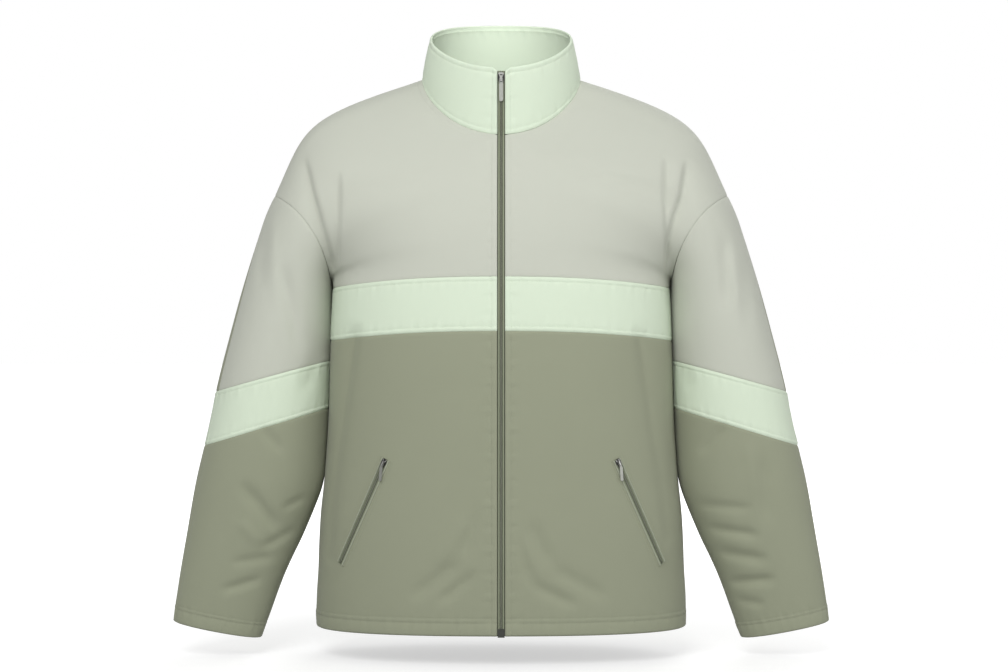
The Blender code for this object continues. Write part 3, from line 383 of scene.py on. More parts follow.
Section = namedtuple("Section", "outer_z inner_z half_depth centre_y bow")
SLEEVE_SECTIONS = [
    Section(-0.143, -0.250, 0.092, 0.000, 0.018),
    Section(-0.185, -0.262, 0.088, 0.000, 0.010),
    Section(-0.225, -0.277, 0.085, 0.000, 0.004),
    Section(-0.265, -0.294, 0.083, 0.000, 0.001),
    Section(-0.310, -0.313, 0.081, -0.001, 0.000),
    Section(-0.350, -0.332, 0.079, -0.002, 0.000),
    Section(-0.390, -0.351, 0.077, -0.003, 0.000),
    Section(-0.458, -0.411, 0.071, -0.006, 0.000),
    Section(-0.520, -0.480, 0.063, -0.010, 0.000),
    Section(-0.580, -0.555, 0.053, -0.013, 0.000),
    Section(-0.630, -0.630, 0.043, -0.016, 0.000),
    Section(-0.679, -0.700, 0.034, -0.018, 0.000),
]
SLEEVE_OUTER = [
    Outline(-0.700, 0.4145),
    Outline(-0.679, 0.4130),
    Outline(-0.625, 0.4060),
    Outline(-0.564, 0.3960),
    Outline(-0.503, 0.3855),
    Outline(-0.442, 0.3715),
    Outline(-0.381, 0.3590),
    Outline(-0.320, 0.3435),
    Outline(-0.259, 0.3270),
    Outline(-0.198, 0.3080),
    Outline(-0.168, 0.2980),
    Outline(-0.143, 0.2865),
    Outline(-0.125, 0.2800),
]
SLEEVE_INNER = [
    Outline(-0.700, 0.3030),
    Outline(-0.671, 0.2920),
    Outline(-0.640, 0.2810),
    Outline(-0.610, 0.2690),
    Outline(-0.579, 0.2540),
    Outline(-0.549, 0.2410),
    Outline(-0.505, 0.2250),
    Outline(-0.460, 0.2200),
    Outline(-0.411, 0.2176),
    Outline(-0.351, 0.2156),
    Outline(-0.300, 0.2142),
    Outline(-0.262, 0.2140),
    Outline(-0.250, 0.2140),
]


def sleeve_section(place):
    """The section table's columns at any place along the sleeve, 0 at the armhole."""
    keys = np.arange(len(SLEEVE_SECTIONS), dtype=float)
    columns = {}
    for column in Section._fields:
        values = np.array([getattr(row, column) for row in SLEEVE_SECTIONS])
        columns[column] = read_curve(keys, values, place)
    return Section(**columns)


def sleeve_ring(place, turn):
    """Points round the left sleeve, from its inner edge (0) by the front to its outer edge (pi)."""
    section = sleeve_section(place)
    outer = stack(read(SLEEVE_OUTER, "z", "x", section.outer_z), section.centre_y, section.outer_z)
    inner = stack(read(SLEEVE_INNER, "z", "x", section.inner_z), section.centre_y, section.inner_z)
    half = (inner - outer) / 2
    upward = stack(unit(half)[..., 2], 0.0, -unit(half)[..., 0])
    points = (outer + inner) / 2 + half * rounded(np.cos(turn), SLEEVE_ROUNDNESS)[..., None]
    points = points + upward * np.asarray(section.bow * np.sin(turn) ** 2)[..., None]
    points[..., 1] -= section.half_depth * rounded(np.sin(turn), SLEEVE_ROUNDNESS)
    return points


def spread_turns(loop, first, last, count):
    """Turns that set count + 1 points evenly along a stretch of a loop."""
    fine = np.linspace(first, last, FINE)
    reached = along(loop(fine))
    return np.interp(np.linspace(0.0, reached[-1], count + 1), reached, fine)


def armhole(turn):
    return sleeve_ring(0.0, turn)


def sleeve_turns(side):
    """Turns of the sleeve's columns: front half, then back half, evenly spread round the armhole."""
    seam = SEAM_TURN_AT_ARMHOLE[side]
    front = spread_turns(armhole, 0.0, seam, ARMHOLE_CELLS)
    back = spread_turns(armhole, seam, 2 * math.pi, ARMHOLE_CELLS)
    return {"front": front, "back": back}


def drifted(turns, side, place):
    """The columns' turns at a place down the sleeve, where the outer seam has drifted forward."""
    top = SEAM_TURN_AT_ARMHOLE[side]
    seam = top + (SEAM_TURN_BELOW[side] - top) * smooth(*SEAM_DRIFT_PLACES, place)
    behind = 2 * math.pi - (2 * math.pi - turns) * (2 * math.pi - seam) / (2 * math.pi - top)
    return np.where(turns <= top, turns * seam / top, behind)


def sleeve_grid(part, side, last, first, rows):
    """Rows of one sleeve piece from its lower edge (last) up to its upper edge (first)."""
    made = []
    for place in np.linspace(last, first, rows + 1):
        turns = drifted(sleeve_turns(side)[part], side, place)
        made.append(np.concatenate([sleeve_ring(place, turns), np.sin(turns)[:, None]], axis=1))
    return np.array(made)


# ---------------------------------------------------------------- yoke
# The pale upper fronts and the sage upper back carry the shoulders: each row of cloth leaves the centre line
# or the neck and swings over to the armhole, so that the shoulder is round.

YOKE_ROWS = 13
NECK_HALF_WIDTH = 0.100
NECK_FRONT_Y = -0.094
NECK_BACK_Y = 0.074
NECK_FRONT_Z = -0.072
NECK_SIDE_Z = 0.005
NECK_BACK_Z = 0.008
NECK_DIP_POWER = 1.25
SHOULDER_SEAM_TURN = math.radians(100)
INNER_REACH_LOW = 0.50
INNER_REACH_AT_SHOULDER = 0.70
OUTER_REACH_LOW = 0.34
OUTER_REACH_AT_SHOULDER = 0.40
REACH_CHANGES_FROM = 0.4
CORNER_FAN = math.radians(40)
SHOULDER_START = (1.0, 0.0, -0.31)
ARMHOLE_WAY_PLACE = 0.25
BAND_FADE_ROWS = 4
CENTRE_MARGIN = 0.0008


def neck_point(turn):
    """Points of the neck seam, from the centre front (0) by the left side to the centre back (pi)."""
    front = np.clip(np.cos(turn), 0.0, 1.0) ** NECK_DIP_POWER
    back = np.clip(-np.cos(turn), 0.0, 1.0)
    z = NECK_SIDE_Z - (NECK_SIDE_Z - NECK_FRONT_Z) * front + (NECK_BACK_Z - NECK_SIDE_Z) * back
    middle = (NECK_FRONT_Y + NECK_BACK_Y) / 2
    half = (NECK_BACK_Y - NECK_FRONT_Y) / 2
    return stack(NECK_HALF_WIDTH * np.sin(turn), middle - half * np.cos(turn), z)


NECK_START = math.asin(ZIP_HALF_OPENING / NECK_HALF_WIDTH)


def centre_line(part):
    """The yoke's edge up the centre of the front or of the back."""
    x, top = (ZIP_HALF_OPENING, NECK_FRONT_Z) if part == "front" else (0.0, NECK_BACK_Z)
    z = np.linspace(BAND_TOP.centre_z, top, FINE)
    return stack(x, read(BODY_PROFILE, "z", f"{part}_y", z), z)


def neck_ends(part):
    return (NECK_START if part == "front" else math.pi), SHOULDER_SEAM_TURN


def centre_cells(part):
    """How many of a yoke's rows start on the centre line rather than on the neck seam."""
    centre = along(centre_line(part))[-1]
    neck = along(neck_point(np.linspace(*neck_ends(part), FINE)))[-1]
    return round(YOKE_ROWS * centre / (centre + neck))


def yoke_starts(part):
    """Start point, start direction and facing of each yoke row, from the band up to the shoulder seam."""
    cells = centre_cells(part)
    low = spread(centre_line(part), cells)
    turns = spread_turns(neck_point, *neck_ends(part), YOKE_ROWS - cells)
    fan = CORNER_FAN * np.linspace(0.0, 1.0, cells + 1)[:, None] ** 2
    low_way = np.cos(fan) * np.array([1.0, 0.0, 0.0]) - np.sin(fan) * unit(np.gradient(low, axis=0))
    share = smooth(0.0, 1.0, np.linspace(0.0, 1.0, YOKE_ROWS - cells + 1))[:, None]
    high_way = unit((1 - share) * low_way[-1] + share * np.array(SHOULDER_START))
    facing = np.concatenate([np.full(cells, 1.0 if part == "front" else -1.0), np.cos(turns)])
    starts = np.concatenate([low, neck_point(turns)[1:]])
    return starts, np.concatenate([low_way, high_way[1:]]), facing


def yoke_ends(part, side):
    """End point, end direction and facing of each yoke row: side seam, then round the armhole."""
    turns = sleeve_turns(side)[part]
    if part == "back":
        turns = turns[::-1]
    ends = sleeve_ring(0.0, turns)
    outward = unit(sleeve_ring(ARMHOLE_WAY_PLACE, turns) - ends)
    round_side = np.array([0.0, 1.0 if part == "front" else -1.0, 0.0])
    lead = np.clip(np.cos(turns), 0.0, 1.0)[:, None]
    ways = unit(lead * round_side + np.sqrt(1.0 - lead**2) * outward)
    seam = body_row("front", BAND_TOP)[-1, :3]
    facing = np.concatenate([[0.0], np.sin(turns)])
    return np.concatenate([[seam], ends]), np.concatenate([[round_side], ways]), facing


def yoke_grid(part, side):
    """The yoke's left front or back: rows from the chest band up to the shoulder seam."""
    t = np.linspace(0.0, 1.0, FINE)[:, None]
    share = np.linspace(0.0, 1.0, FRONT_COLUMNS + 1)
    rise = smooth(REACH_CHANGES_FROM, 1.0, np.linspace(0.0, 1.0, YOKE_ROWS + 1))
    inner_reach = INNER_REACH_LOW + (INNER_REACH_AT_SHOULDER - INNER_REACH_LOW) * rise
    outer_reach = OUTER_REACH_LOW + (OUTER_REACH_AT_SHOULDER - OUTER_REACH_LOW) * rise
    rows = []
    pairs = zip(*yoke_starts(part), *yoke_ends(part, side))
    for row, (start, way_in, facing_in, end, way_out, facing_out) in enumerate(pairs):
        reach = np.linalg.norm(end - start)
        leave = start + way_in * reach * inner_reach[row]
        meet = end - way_out * reach * outer_reach[row]
        line = (1 - t) ** 3 * start + 3 * (1 - t) ** 2 * t * leave + 3 * (1 - t) * t**2 * meet + t**3 * end
        facing = facing_in * np.cos(share * math.pi / 2) + facing_out * share**2
        rows.append(np.concatenate([spread(line, FRONT_COLUMNS), facing[:, None]], axis=1))
    grid = np.array(rows)
    band = body_row(part, BAND_TOP) if part == "front" else body_row(part, BAND_TOP)[::-1]
    fade = 1.0 - smooth(0.0, BAND_FADE_ROWS, np.arange(YOKE_ROWS + 1.0))
    grid[..., :3] += fade[:, None, None] * (band - grid[0])[:, :3]
    return grid


# ---------------------------------------------------------------- folds and seams
# The knit hangs in soft folds from the armpits, down the sleeves and at the sides. Every seam draws the
# cloth in, and a row of stitching beside it holds the seam's allowance flat, so the cloth puckers a little.

FOLDS_START = (0.012, 0.045)
FOLDS_FACING = (0.15, 0.75)
FOLD_FADES_IN = (-0.1, 0.3)
FOLD_FADES_OUT = (0.7, 1.1)
Fold = namedtuple("Fold", "from_x from_z to_x to_z half_width depth")
FRONT_FOLDS = [
    Fold(-0.2967, -0.1575, -0.2991, -0.2629, 0.008, 0.0035),
    Fold(-0.2694, -0.2319, -0.2508, -0.3374, 0.008, 0.0040),
    Fold(-0.2830, -0.1699, -0.2793, -0.2753, 0.006, -0.0015),
    Fold(0.2739, -0.1947, 0.2801, -0.2878, 0.008, 0.0035),
    Fold(0.3034, -0.2254, 0.3072, -0.3125, 0.008, 0.0015),
    Fold(0.2875, -0.2009, 0.2925, -0.3002, 0.006, -0.0015),
    Fold(-0.2454, -0.3934, -0.2280, -0.3399, 0.008, 0.0030),
    Fold(0.2350, -0.3897, 0.2263, -0.3524, 0.007, 0.0025),
    Fold(-0.3213, -0.5030, -0.2740, -0.5652, 0.008, 0.0050),
    Fold(-0.2977, -0.4308, -0.2716, -0.4644, 0.006, 0.0030),
    Fold(-0.2716, -0.5341, -0.2454, -0.5216, 0.005, 0.0030),
    Fold(-0.2977, -0.5839, -0.2579, -0.5615, 0.006, 0.0035),
    Fold(-0.3487, -0.6372, -0.2987, -0.6222, 0.006, 0.0035),
    Fold(-0.3362, -0.6022, -0.2825, -0.5947, 0.006, 0.0025),
    Fold(-0.3251, -0.5490, -0.2977, -0.5801, 0.007, -0.0020),
    Fold(0.2450, -0.5303, 0.3122, -0.5341, 0.006, 0.0030),
    Fold(0.2549, -0.5590, 0.3221, -0.5677, 0.006, 0.0040),
    Fold(0.2674, -0.5888, 0.3321, -0.5988, 0.007, 0.0045),
    Fold(0.2832, -0.6285, 0.3419, -0.6222, 0.006, 0.0050),
    Fold(0.2920, -0.6497, 0.3294, -0.6547, 0.005, 0.0030),
    Fold(0.2466, -0.4676, 0.2776, -0.4304, 0.007, 0.0030),
    Fold(0.3246, -0.4681, 0.3321, -0.5552, 0.009, 0.0030),
    Fold(0.3034, -0.4494, 0.3184, -0.5241, 0.008, -0.0015),
    Fold(-0.0207, -0.5246, -0.0474, -0.5912, 0.009, 0.0025),
    Fold(-0.0474, -0.5912, -0.1103, -0.6396, 0.009, 0.0030),
    Fold(-0.0425, -0.5367, -0.0764, -0.5985, 0.008, -0.0015),
    Fold(-0.0304, -0.6057, -0.0764, -0.6445, 0.007, 0.0030),
    Fold(0.0132, -0.5549, 0.0350, -0.6215, 0.007, 0.0035),
    Fold(0.0326, -0.6191, 0.0931, -0.6481, 0.007, 0.0030),
    Fold(0.0326, -0.5428, 0.0616, -0.6009, 0.009, 0.0025),
    Fold(0.0592, -0.5985, 0.1294, -0.6396, 0.009, 0.0025),
    Fold(0.0253, -0.5609, 0.0483, -0.6154, 0.006, -0.0015),
]
BACK_FOLDS = [
    Fold(0.215, -0.120, 0.195, -0.300, 0.014, 0.009),
    Fold(-0.215, -0.120, -0.195, -0.300, 0.014, 0.009),
    Fold(0.090, -0.420, 0.130, -0.640, 0.018, 0.005),
    Fold(-0.080, -0.400, -0.115, -0.630, 0.018, 0.005),
    Fold(0.255, -0.450, 0.350, -0.500, 0.014, 0.007),
    Fold(-0.255, -0.460, -0.345, -0.490, 0.014, 0.007),
    Fold(0.275, -0.190, 0.300, -0.370, 0.013, 0.006),
    Fold(-0.280, -0.190, -0.298, -0.360, 0.013, 0.006),
]

Crease = namedtuple("Crease", "line soft_side soft_width depth")
CREASES = [
    Crease([(-0.251, -0.2047), (-0.2017, -0.217), (-0.1401, -0.2343), (-0.0884, -0.2478)], -1, 0.012, 0.009),
    Crease([(-0.2417, -0.2033), (-0.172, -0.1996), (-0.1108, -0.1996)], -1, 0.009, 0.005),
    Crease(
        [(-0.2414, 0.2061), (-0.2083, 0.2061), (-0.1751, 0.2134), (-0.1469, 0.2233), (-0.0941, 0.2318)],
        1,
        0.012,
        0.009,
    ),
    Crease([(-0.2331, 0.2054), (-0.1536, 0.2017), (-0.09, 0.2029)], 1, 0.009, 0.0055),
    Crease([(-0.593, -0.215), (-0.52, -0.211), (-0.422, -0.197), (-0.3, -0.178)], -1, 0.024, 0.016),
    Crease([(-0.569, 0.208), (-0.52, 0.203), (-0.435, 0.188), (-0.3, 0.168)], 1, 0.024, 0.0075),
]
CREASE_HARD_SHARE = 0.32
CREASE_FADE = 0.030

Edge = namedtuple("Edge", "stitch_rows dip ridge")
PLAIN_SEAM = Edge((), 0.0006, 0.0)
SIDE_SEAM = Edge((), 0.0004, 0.0)
STITCHED_SEAM = Edge((0.0056,), 0.0007, 0.0003)
ZIP_EDGE = Edge((0.0073,), 0.0, 0.0004)
HEM_EDGE = Edge((0.0160, 0.0216), 0.0, 0.0005)
CUFF_EDGE = Edge((0.0170, 0.0213), 0.0, 0.0005)
RIM_EDGE = Edge((0.0064,), 0.0, 0.0003)
NO_EDGE = Edge((), 0.0, 0.0)
EDGE_PLACES = (0.0, 0.0008, 0.0018, 0.0032)
DIP_WIDTH = 0.0016
FLAT_FROM = (0.0004, 0.0018)
FLAT_PAST_STITCHES = (-0.0006, 0.0016)
GROOVE_DEPTH = 0.0006
GROOVE_WIDTH = 0.0009
PUCKER_DEPTH = 0.00035
PUCKER_REACH = 0.009
PUCKER_WAVES = ((0.0113, 0.0, 1.0), (0.0071, 1.9, 0.6), (0.0187, 4.1, 0.8))
CELL = 0.0036
CELL_STEP = 4
WELD_PER_METRE = 1e5


def fold_depth(folds, x, z):
    """How far the folds push the cloth inward at a place in the front view."""
    total = np.zeros_like(x)
    for fold in folds:
        run_x = fold.to_x - fold.from_x
        run_z = fold.to_z - fold.from_z
        length = math.hypot(run_x, run_z)
        share = ((x - fold.from_x) * run_x + (z - fold.from_z) * run_z) / length**2
        aside = ((x - fold.from_x) * run_z - (z - fold.from_z) * run_x) / length
        ends = smooth(*FOLD_FADES_IN, share) * (1.0 - smooth(*FOLD_FADES_OUT, share))
        total = total + fold.depth * ends * np.exp(-((aside / fold.half_width) ** 2))
    return total * smooth(*FOLDS_START, np.abs(x))


def crease_depth(x, z):
    """How far the creases at the armpits push the cloth in: steeply on one side, softly on the other."""
    total = np.zeros_like(x)
    for crease in CREASES:
        levels, places = np.array(crease.line).T
        aside = (x - np.interp(z, levels, places)) * crease.soft_side
        soft = np.exp(-np.maximum(aside, 0.0) / crease.soft_width)
        hard = np.exp(-((np.minimum(aside, 0.0) / (crease.soft_width * CREASE_HARD_SHARE)) ** 2))
        fade_in = smooth(levels[0] - CREASE_FADE / 2, levels[0], z)
        fade_out = smooth(levels[-1] - CREASE_FADE, levels[-1], z)
        total = total + crease.depth * fade_in * (1.0 - fade_out) * soft * hard
    return total


def folded(grid):
    """Moves a grid's points in or out by the folds, and drops the facing that it carries."""
    x, z, facing = grid[..., 0], grid[..., 2], grid[..., 3]
    front = (fold_depth(FRONT_FOLDS, x, z) + crease_depth(x, z)) * smooth(*FOLDS_FACING, facing)
    back = fold_depth(BACK_FOLDS, x, z) * smooth(*FOLDS_FACING, -facing)
    moved = grid[..., :3].copy()
    moved[..., 1] += front - back
    return moved


def edge_places(edge):
    """Distances from an edge at which the cloth needs a line of points of its own."""
    if edge is NO_EDGE:
        return [0.0]
    places = list(EDGE_PLACES)
    for row in edge.stitch_rows:
        places += [row - GROOVE_WIDTH, row, row + GROOVE_WIDTH]
    return places + [places[-1] + 0.003]


def spaced(grid, first, last):
    """Sets each column's points close together near its two edges, and evenly between them.

    Their number goes in steps, so that the two halves of a back share the points between them.
    """
    near = np.array(edge_places(first))
    far = np.array(edge_places(last))
    lengths = along(grid)[-1]
    cells = max(CELL_STEP * round((lengths.mean() - near[-1] - far[-1]) / CELL / CELL_STEP), CELL_STEP)
    made = []
    for column, length in zip(turned(grid), lengths):
        between = np.linspace(near[-1], length - far[-1], cells + 1)[1:-1]
        made.append(at_distances(column, np.concatenate([near, between, length - far[::-1]])))
    return turned(np.array(made))


def with_corner(fine, line, corner):
    """Makes a fine grid's first column follow its coarse line, which turns a sharp corner."""
    parts = [finer(line[: corner + 1, None]), finer(line[corner:, None])[1:]]
    drift = np.concatenate(parts)[:, 0] - fine[:, 0]
    weight = 1.0 - smooth(0.0, ROWS_FINE, np.arange(fine.shape[1], dtype=float))
    fine[..., :3] += weight[None, :, None] * drift[:, None, :3]
    return fine


def fine_grid(grid, edges, corners=(None, None)):
    """A panel's grid at full fineness; edges are its lowest, highest, first and last.

    Past the centre of a back, where there is no edge, a mirrored column keeps the cloth smooth.
    """
    low, high, first, last = edges
    mirror = np.array([-1.0, 1.0, 1.0, 1.0])
    before = [grid[:, 1:2] * mirror] if first is NO_EDGE else []
    after = [grid[:, -2:-1] * mirror] if last is NO_EDGE else []
    fine = turned(finer(turned(finer(np.concatenate([*before, grid, *after], axis=1)))))
    fine = fine[:, ROWS_FINE * len(before) : fine.shape[1] - ROWS_FINE * len(after)]
    if corners[0] is not None:
        fine = with_corner(fine, grid[:, 0], corners[0])
    if corners[1] is not None:
        fine = with_corner(fine[:, ::-1], grid[:, -1], corners[1])[:, ::-1]
    return spaced(turned(spaced(turned(fine), first, last)), low, high)


def grid_normals(grid):
    """Normals of a grid's points, each the sum over the faces round it."""
    face = np.cross(grid[1:, 1:] - grid[:-1, :-1], grid[1:, :-1] - grid[:-1, 1:])
    total = np.zeros_like(grid)
    for part in (total[:-1, :-1], total[:-1, 1:], total[1:, :-1], total[1:, 1:]):
        part += face
    return total


def edge_relief(edge, distance, run):
    """How far an edge's seam, allowance and stitching move the cloth out (plus) or in (minus)."""
    lift = -edge.dip * np.exp(-((distance / DIP_WIDTH) ** 2))
    if not edge.stitch_rows:
        return lift
    past = distance - edge.stitch_rows[-1]
    lift = lift + edge.ridge * smooth(*FLAT_FROM, distance) * (1.0 - smooth(*FLAT_PAST_STITCHES, past))
    for row in edge.stitch_rows:
        lift = lift - GROOVE_DEPTH * np.exp(-(((distance - row) / GROOVE_WIDTH) ** 2))
    waves = sum(share * np.sin(2 * math.pi * run / length + turn) for length, turn, share in PUCKER_WAVES)
    centre = edge.stitch_rows[0]
    fade = np.exp(-(((distance - centre) / PUCKER_REACH) ** 2)) * smooth(0.0, centre, distance)
    return lift + PUCKER_DEPTH * waves * fade


def distances(grid):
    """How far each point of a grid lies from its lowest, highest, first and last edge."""
    up = along(grid)
    over = turned(along(turned(grid)))
    return up, up[-1] - up, over, over[:, -1:] - over


Panel = namedtuple("Panel", "grid edges first_is_neck")


def relief(panel):
    """The relief of all four edges; the first edge's dip is softer in the rows that reach the neck."""
    low, high, first, last = distances(panel.grid)
    total = edge_relief(panel.edges[0], low, first) + edge_relief(panel.edges[1], high, first)
    total = total + edge_relief(panel.edges[3], last, low)
    plain = edge_relief(panel.edges[2], first, low)
    if panel.first_is_neck is None:
        return total + plain
    neck = edge_relief(SIDE_SEAM, first, low)
    return total + np.where(panel.first_is_neck[:, None], neck, plain)


def mirrored_panel(panel):
    """The other side's panel, with its columns turned round so that it still faces out."""
    grid = panel.grid[:, ::-1] * np.array([-1.0, 1.0, 1.0, 1.0])
    low, high, first, last = panel.edges
    return panel._replace(grid=grid, edges=(low, high, last, first))


BODY_STRETCHES = {
    "lower": (HEM, BAND_BOTTOM, LOWER_ROWS, HEM_EDGE, PLAIN_SEAM),
    "band": (BAND_BOTTOM, BAND_TOP, BAND_ROWS, STITCHED_SEAM, STITCHED_SEAM),
}
SLEEVE_STRETCHES = {
    "upper": (SLEEVE_BAND_TOP, 0, SLEEVE_UPPER_ROWS, PLAIN_SEAM, PLAIN_SEAM),
    "band": (SLEEVE_BAND_BOTTOM, SLEEVE_BAND_TOP, BAND_ROWS, STITCHED_SEAM, STITCHED_SEAM),
    "lower": (len(SLEEVE_SECTIONS) - 1, SLEEVE_BAND_BOTTOM, SLEEVE_LOWER_ROWS, CUFF_EDGE, PLAIN_SEAM),
}


def body_panels():
    """The panels below the chest, by name."""
    panels = {}
    for name, (low, high, rows, *ends) in BODY_STRETCHES.items():
        for part, sides in (("front", (ZIP_EDGE, SIDE_SEAM)), ("back", (SIDE_SEAM, NO_EDGE))):
            edges = (*ends, *sides)
            left = Panel(fine_grid(body_grid(part, low, high, rows), edges), edges, None)
            panels[f"{part}_{name}_left"] = left
            panels[f"{part}_{name}_right"] = mirrored_panel(left)
    return panels


def yoke_panel(part, side):
    edges = (PLAIN_SEAM, PLAIN_SEAM, ZIP_EDGE if part == "front" else NO_EDGE, PLAIN_SEAM)
    fine = fine_grid(yoke_grid(part, side), edges, (centre_cells(part), 1))
    edge_x = ZIP_HALF_OPENING if part == "front" else 0.0
    panel = Panel(fine, edges, fine[:, 0, 0] > edge_x + CENTRE_MARGIN)
    if part == "back":
        panel = Panel(fine[:, ::-1], (PLAIN_SEAM, PLAIN_SEAM, PLAIN_SEAM, edges[2]), panel.first_is_neck)
    return panel


def all_panels():
    """Every panel of the body and of the sleeves, unfolded, by name."""
    panels = body_panels()
    for side in ("left", "right"):
        found = {}
        for part in ("front", "back"):
            found[f"{part}_upper_{side}"] = yoke_panel(part, side)
            for name, (last, first, rows, low, high) in SLEEVE_STRETCHES.items():
                sides = (SIDE_SEAM, PLAIN_SEAM)
                edges = (low, high, *(sides if part == "front" else sides[::-1]))
                grid = fine_grid(sleeve_grid(part, side, last, first, rows), edges)
                found[f"sleeve_{name}_{part}_{side}"] = Panel(grid, edges, None)
        for name, panel in found.items():
            panels[name] = panel if side == "left" else mirrored_panel(panel)
    return panels


# ---------------------------------------------------------------- the panels as cloth
# Each panel is a wall of knit with its folds, drawn in at its seams. The turned hem and cuffs are double,
# and open edges are rolled round. The back panels are each cut in one piece, so their halves are joined.

CLOTH_WALL = 0.0016
HEM_WALL = 0.0030
COLLAR_WALL = 0.0026
HEM_FADE = 0.002
ROLL = 0.0014
ROLL_THINS = 0.9
OPEN_EDGES = (HEM_EDGE, CUFF_EDGE, ZIP_EDGE, RIM_EDGE)

Sheet = namedtuple("Sheet", "base outer inner place")
Row = namedtuple("Row", "points normals")


def shared_normals(grids):
    """Normals that agree wherever two panels share points."""
    points = np.concatenate([grid.reshape(-1, 3) for grid in grids.values()])
    normals = np.concatenate([grid_normals(grid).reshape(-1, 3) for grid in grids.values()])
    keys = np.round(points * WELD_PER_METRE).astype(int)
    group = np.unique(keys, axis=0, return_inverse=True)[1].reshape(-1)
    total = np.zeros((group.max() + 1, 3))
    np.add.at(total, group, normals)
    shared = unit(total)[group]
    found = {}
    start = 0
    for name, grid in grids.items():
        count = grid.shape[0] * grid.shape[1]
        found[name] = shared[start : start + count].reshape(grid.shape)
        start += count
    return found


def rolled(panel):
    """1 at the very edge where the cloth is turned round an open edge, and 0 a little further in."""
    total = np.zeros(panel.grid.shape[:2])
    for edge, distance in zip(panel.edges, distances(panel.grid)):
        if edge in OPEN_EDGES:
            near = np.clip(1.0 - distance / ROLL, 0.0, 1.0)
            if edge is ZIP_EDGE and panel.first_is_neck is not None:
                near = near * ~panel.first_is_neck[:, None]
            total = np.maximum(total, 1.0 - np.sqrt(1.0 - near**2))
    return total


def wall_thickness(panel, wall):
    edge = panel.edges[0]
    if edge not in (HEM_EDGE, CUFF_EDGE):
        return np.full(panel.grid.shape[:2], wall)
    last_row = edge.stitch_rows[-1]
    double = 1.0 - smooth(last_row, last_row + HEM_FADE, distances(panel.grid)[0])
    return wall + (HEM_WALL - wall) * double


def sheet_of(panel, points, normals, wall):
    """A panel's outer and inner surface."""
    thickness = wall_thickness(panel, wall)
    roll = rolled(panel)
    out = relief(panel) - thickness * roll / 2
    outer = points + normals * out[..., None]
    inner = outer - normals * (thickness * (1.0 - ROLL_THINS * roll))[..., None]
    low, _, first, _ = distances(panel.grid)
    return Sheet(points, outer, inner, np.stack([first, low, np.zeros_like(low)], axis=-1))


def grid_quads(rows, columns, start):
    corner = start + np.arange(rows - 1)[:, None] * columns + np.arange(columns - 1)
    quads = np.stack([corner, corner + 1, corner + columns + 1, corner + columns], axis=-1)
    return quads.reshape(-1, 4)


def open_edges(quads, count):
    """Edges with cloth on their left side only, in the direction that they run."""
    edges = np.concatenate([quads[:, [side, (side + 1) % 4]] for side in range(4)])
    forward = edges[:, 0] * count + edges[:, 1]
    backward = edges[:, 1] * count + edges[:, 0]
    return edges[~np.isin(forward, backward)]


def merged(group, values):
    """The mean of the values at each joined point."""
    total = np.zeros((group.max() + 1, values.shape[1]))
    np.add.at(total, group, values)
    return total / np.bincount(group)[:, None]


def new_object(name, points, faces, material):
    """A smooth part of the cloth or sewn to it."""
    mesh = bpy.data.meshes.new(name)
    mesh.from_pydata(points.tolist(), [], faces)
    made = bpy.data.objects.new(name, mesh)
    bpy.context.scene.collection.objects.link(made)
    mesh.materials.append(material)
    mesh.shade_smooth()
    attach(made, "garment")
    return made


def knit_piece(name, sheets, material):
    """One closed wall of knit from the sheets of a piece, with its places across and along the loops."""
    keys = np.concatenate([np.round(sheet.base.reshape(-1, 3) * WELD_PER_METRE) for sheet in sheets])
    group = np.unique(keys, axis=0, return_inverse=True)[1].reshape(-1)
    outer, inner, places = (
        merged(group, np.concatenate([getattr(sheet, field).reshape(-1, 3) for sheet in sheets]))
        for field in ("outer", "inner", "place")
    )
    quads, start = [], 0
    for sheet in sheets:
        rows, columns = sheet.base.shape[:2]
        quads.append(group[grid_quads(rows, columns, start)])
        start += rows * columns
    quads = np.concatenate(quads)
    count = len(outer)
    a, b = open_edges(quads, count).T
    rim = np.stack([a, a + count, b + count, b], axis=1)
    faces = np.concatenate([quads, quads[:, ::-1] + count, rim])
    made = new_object(name, np.concatenate([outer, inner]), faces.tolist(), material)
    attribute = made.data.attributes.new("cloth_place", "FLOAT_VECTOR", "POINT")
    attribute.data.foreach_set("vector", np.concatenate([places, places]).ravel())
    return made


def cut_area(sheets):
    """The area of the flat cut: the sheets are cut without stretch."""
    return sum(np.linalg.norm(grid_normals(sheet.base), axis=-1).sum() / 8 for sheet in sheets)


def knit_of(node):
    if node == "collar" or "band" in node:
        return "mint_knit"
    if "lower" in node or "back" in node:
        return "sage_knit"
    return "pale_knit"


def stitch_rows(panel, sheet, normals):
    """The rows of stitching of a panel, each as points on its face with their normals."""
    found = []
    views = (
        (sheet.outer, normals, None),
        (sheet.outer[::-1], normals[::-1], None),
        (turned(sheet.outer), turned(normals), panel.first_is_neck),
        (turned(sheet.outer)[::-1], turned(normals)[::-1], panel.first_is_neck),
    )
    for edge, (outer, facing, is_neck) in zip(panel.edges, views):
        places = edge_places(edge)
        for row in edge.stitch_rows:
            line, way = outer[places.index(row)], facing[places.index(row)]
            if is_neck is not None:
                line, way = line[~is_neck], way[~is_neck]
            found.append(Row(line, way))
    return found


PANELS = all_panels()
FOLDED = {name: folded(panel.grid) for name, panel in PANELS.items()}
FACING = shared_normals(FOLDED)
SHEETS = {}
THREAD_ROWS = {"pale_knit": [], "mint_knit": [], "sage_knit": []}
for name, panel in PANELS.items():
    SHEETS[name] = sheet_of(panel, FOLDED[name], FACING[name], CLOTH_WALL)
    THREAD_ROWS[knit_of(name)] += stitch_rows(panel, SHEETS[name], FACING[name])

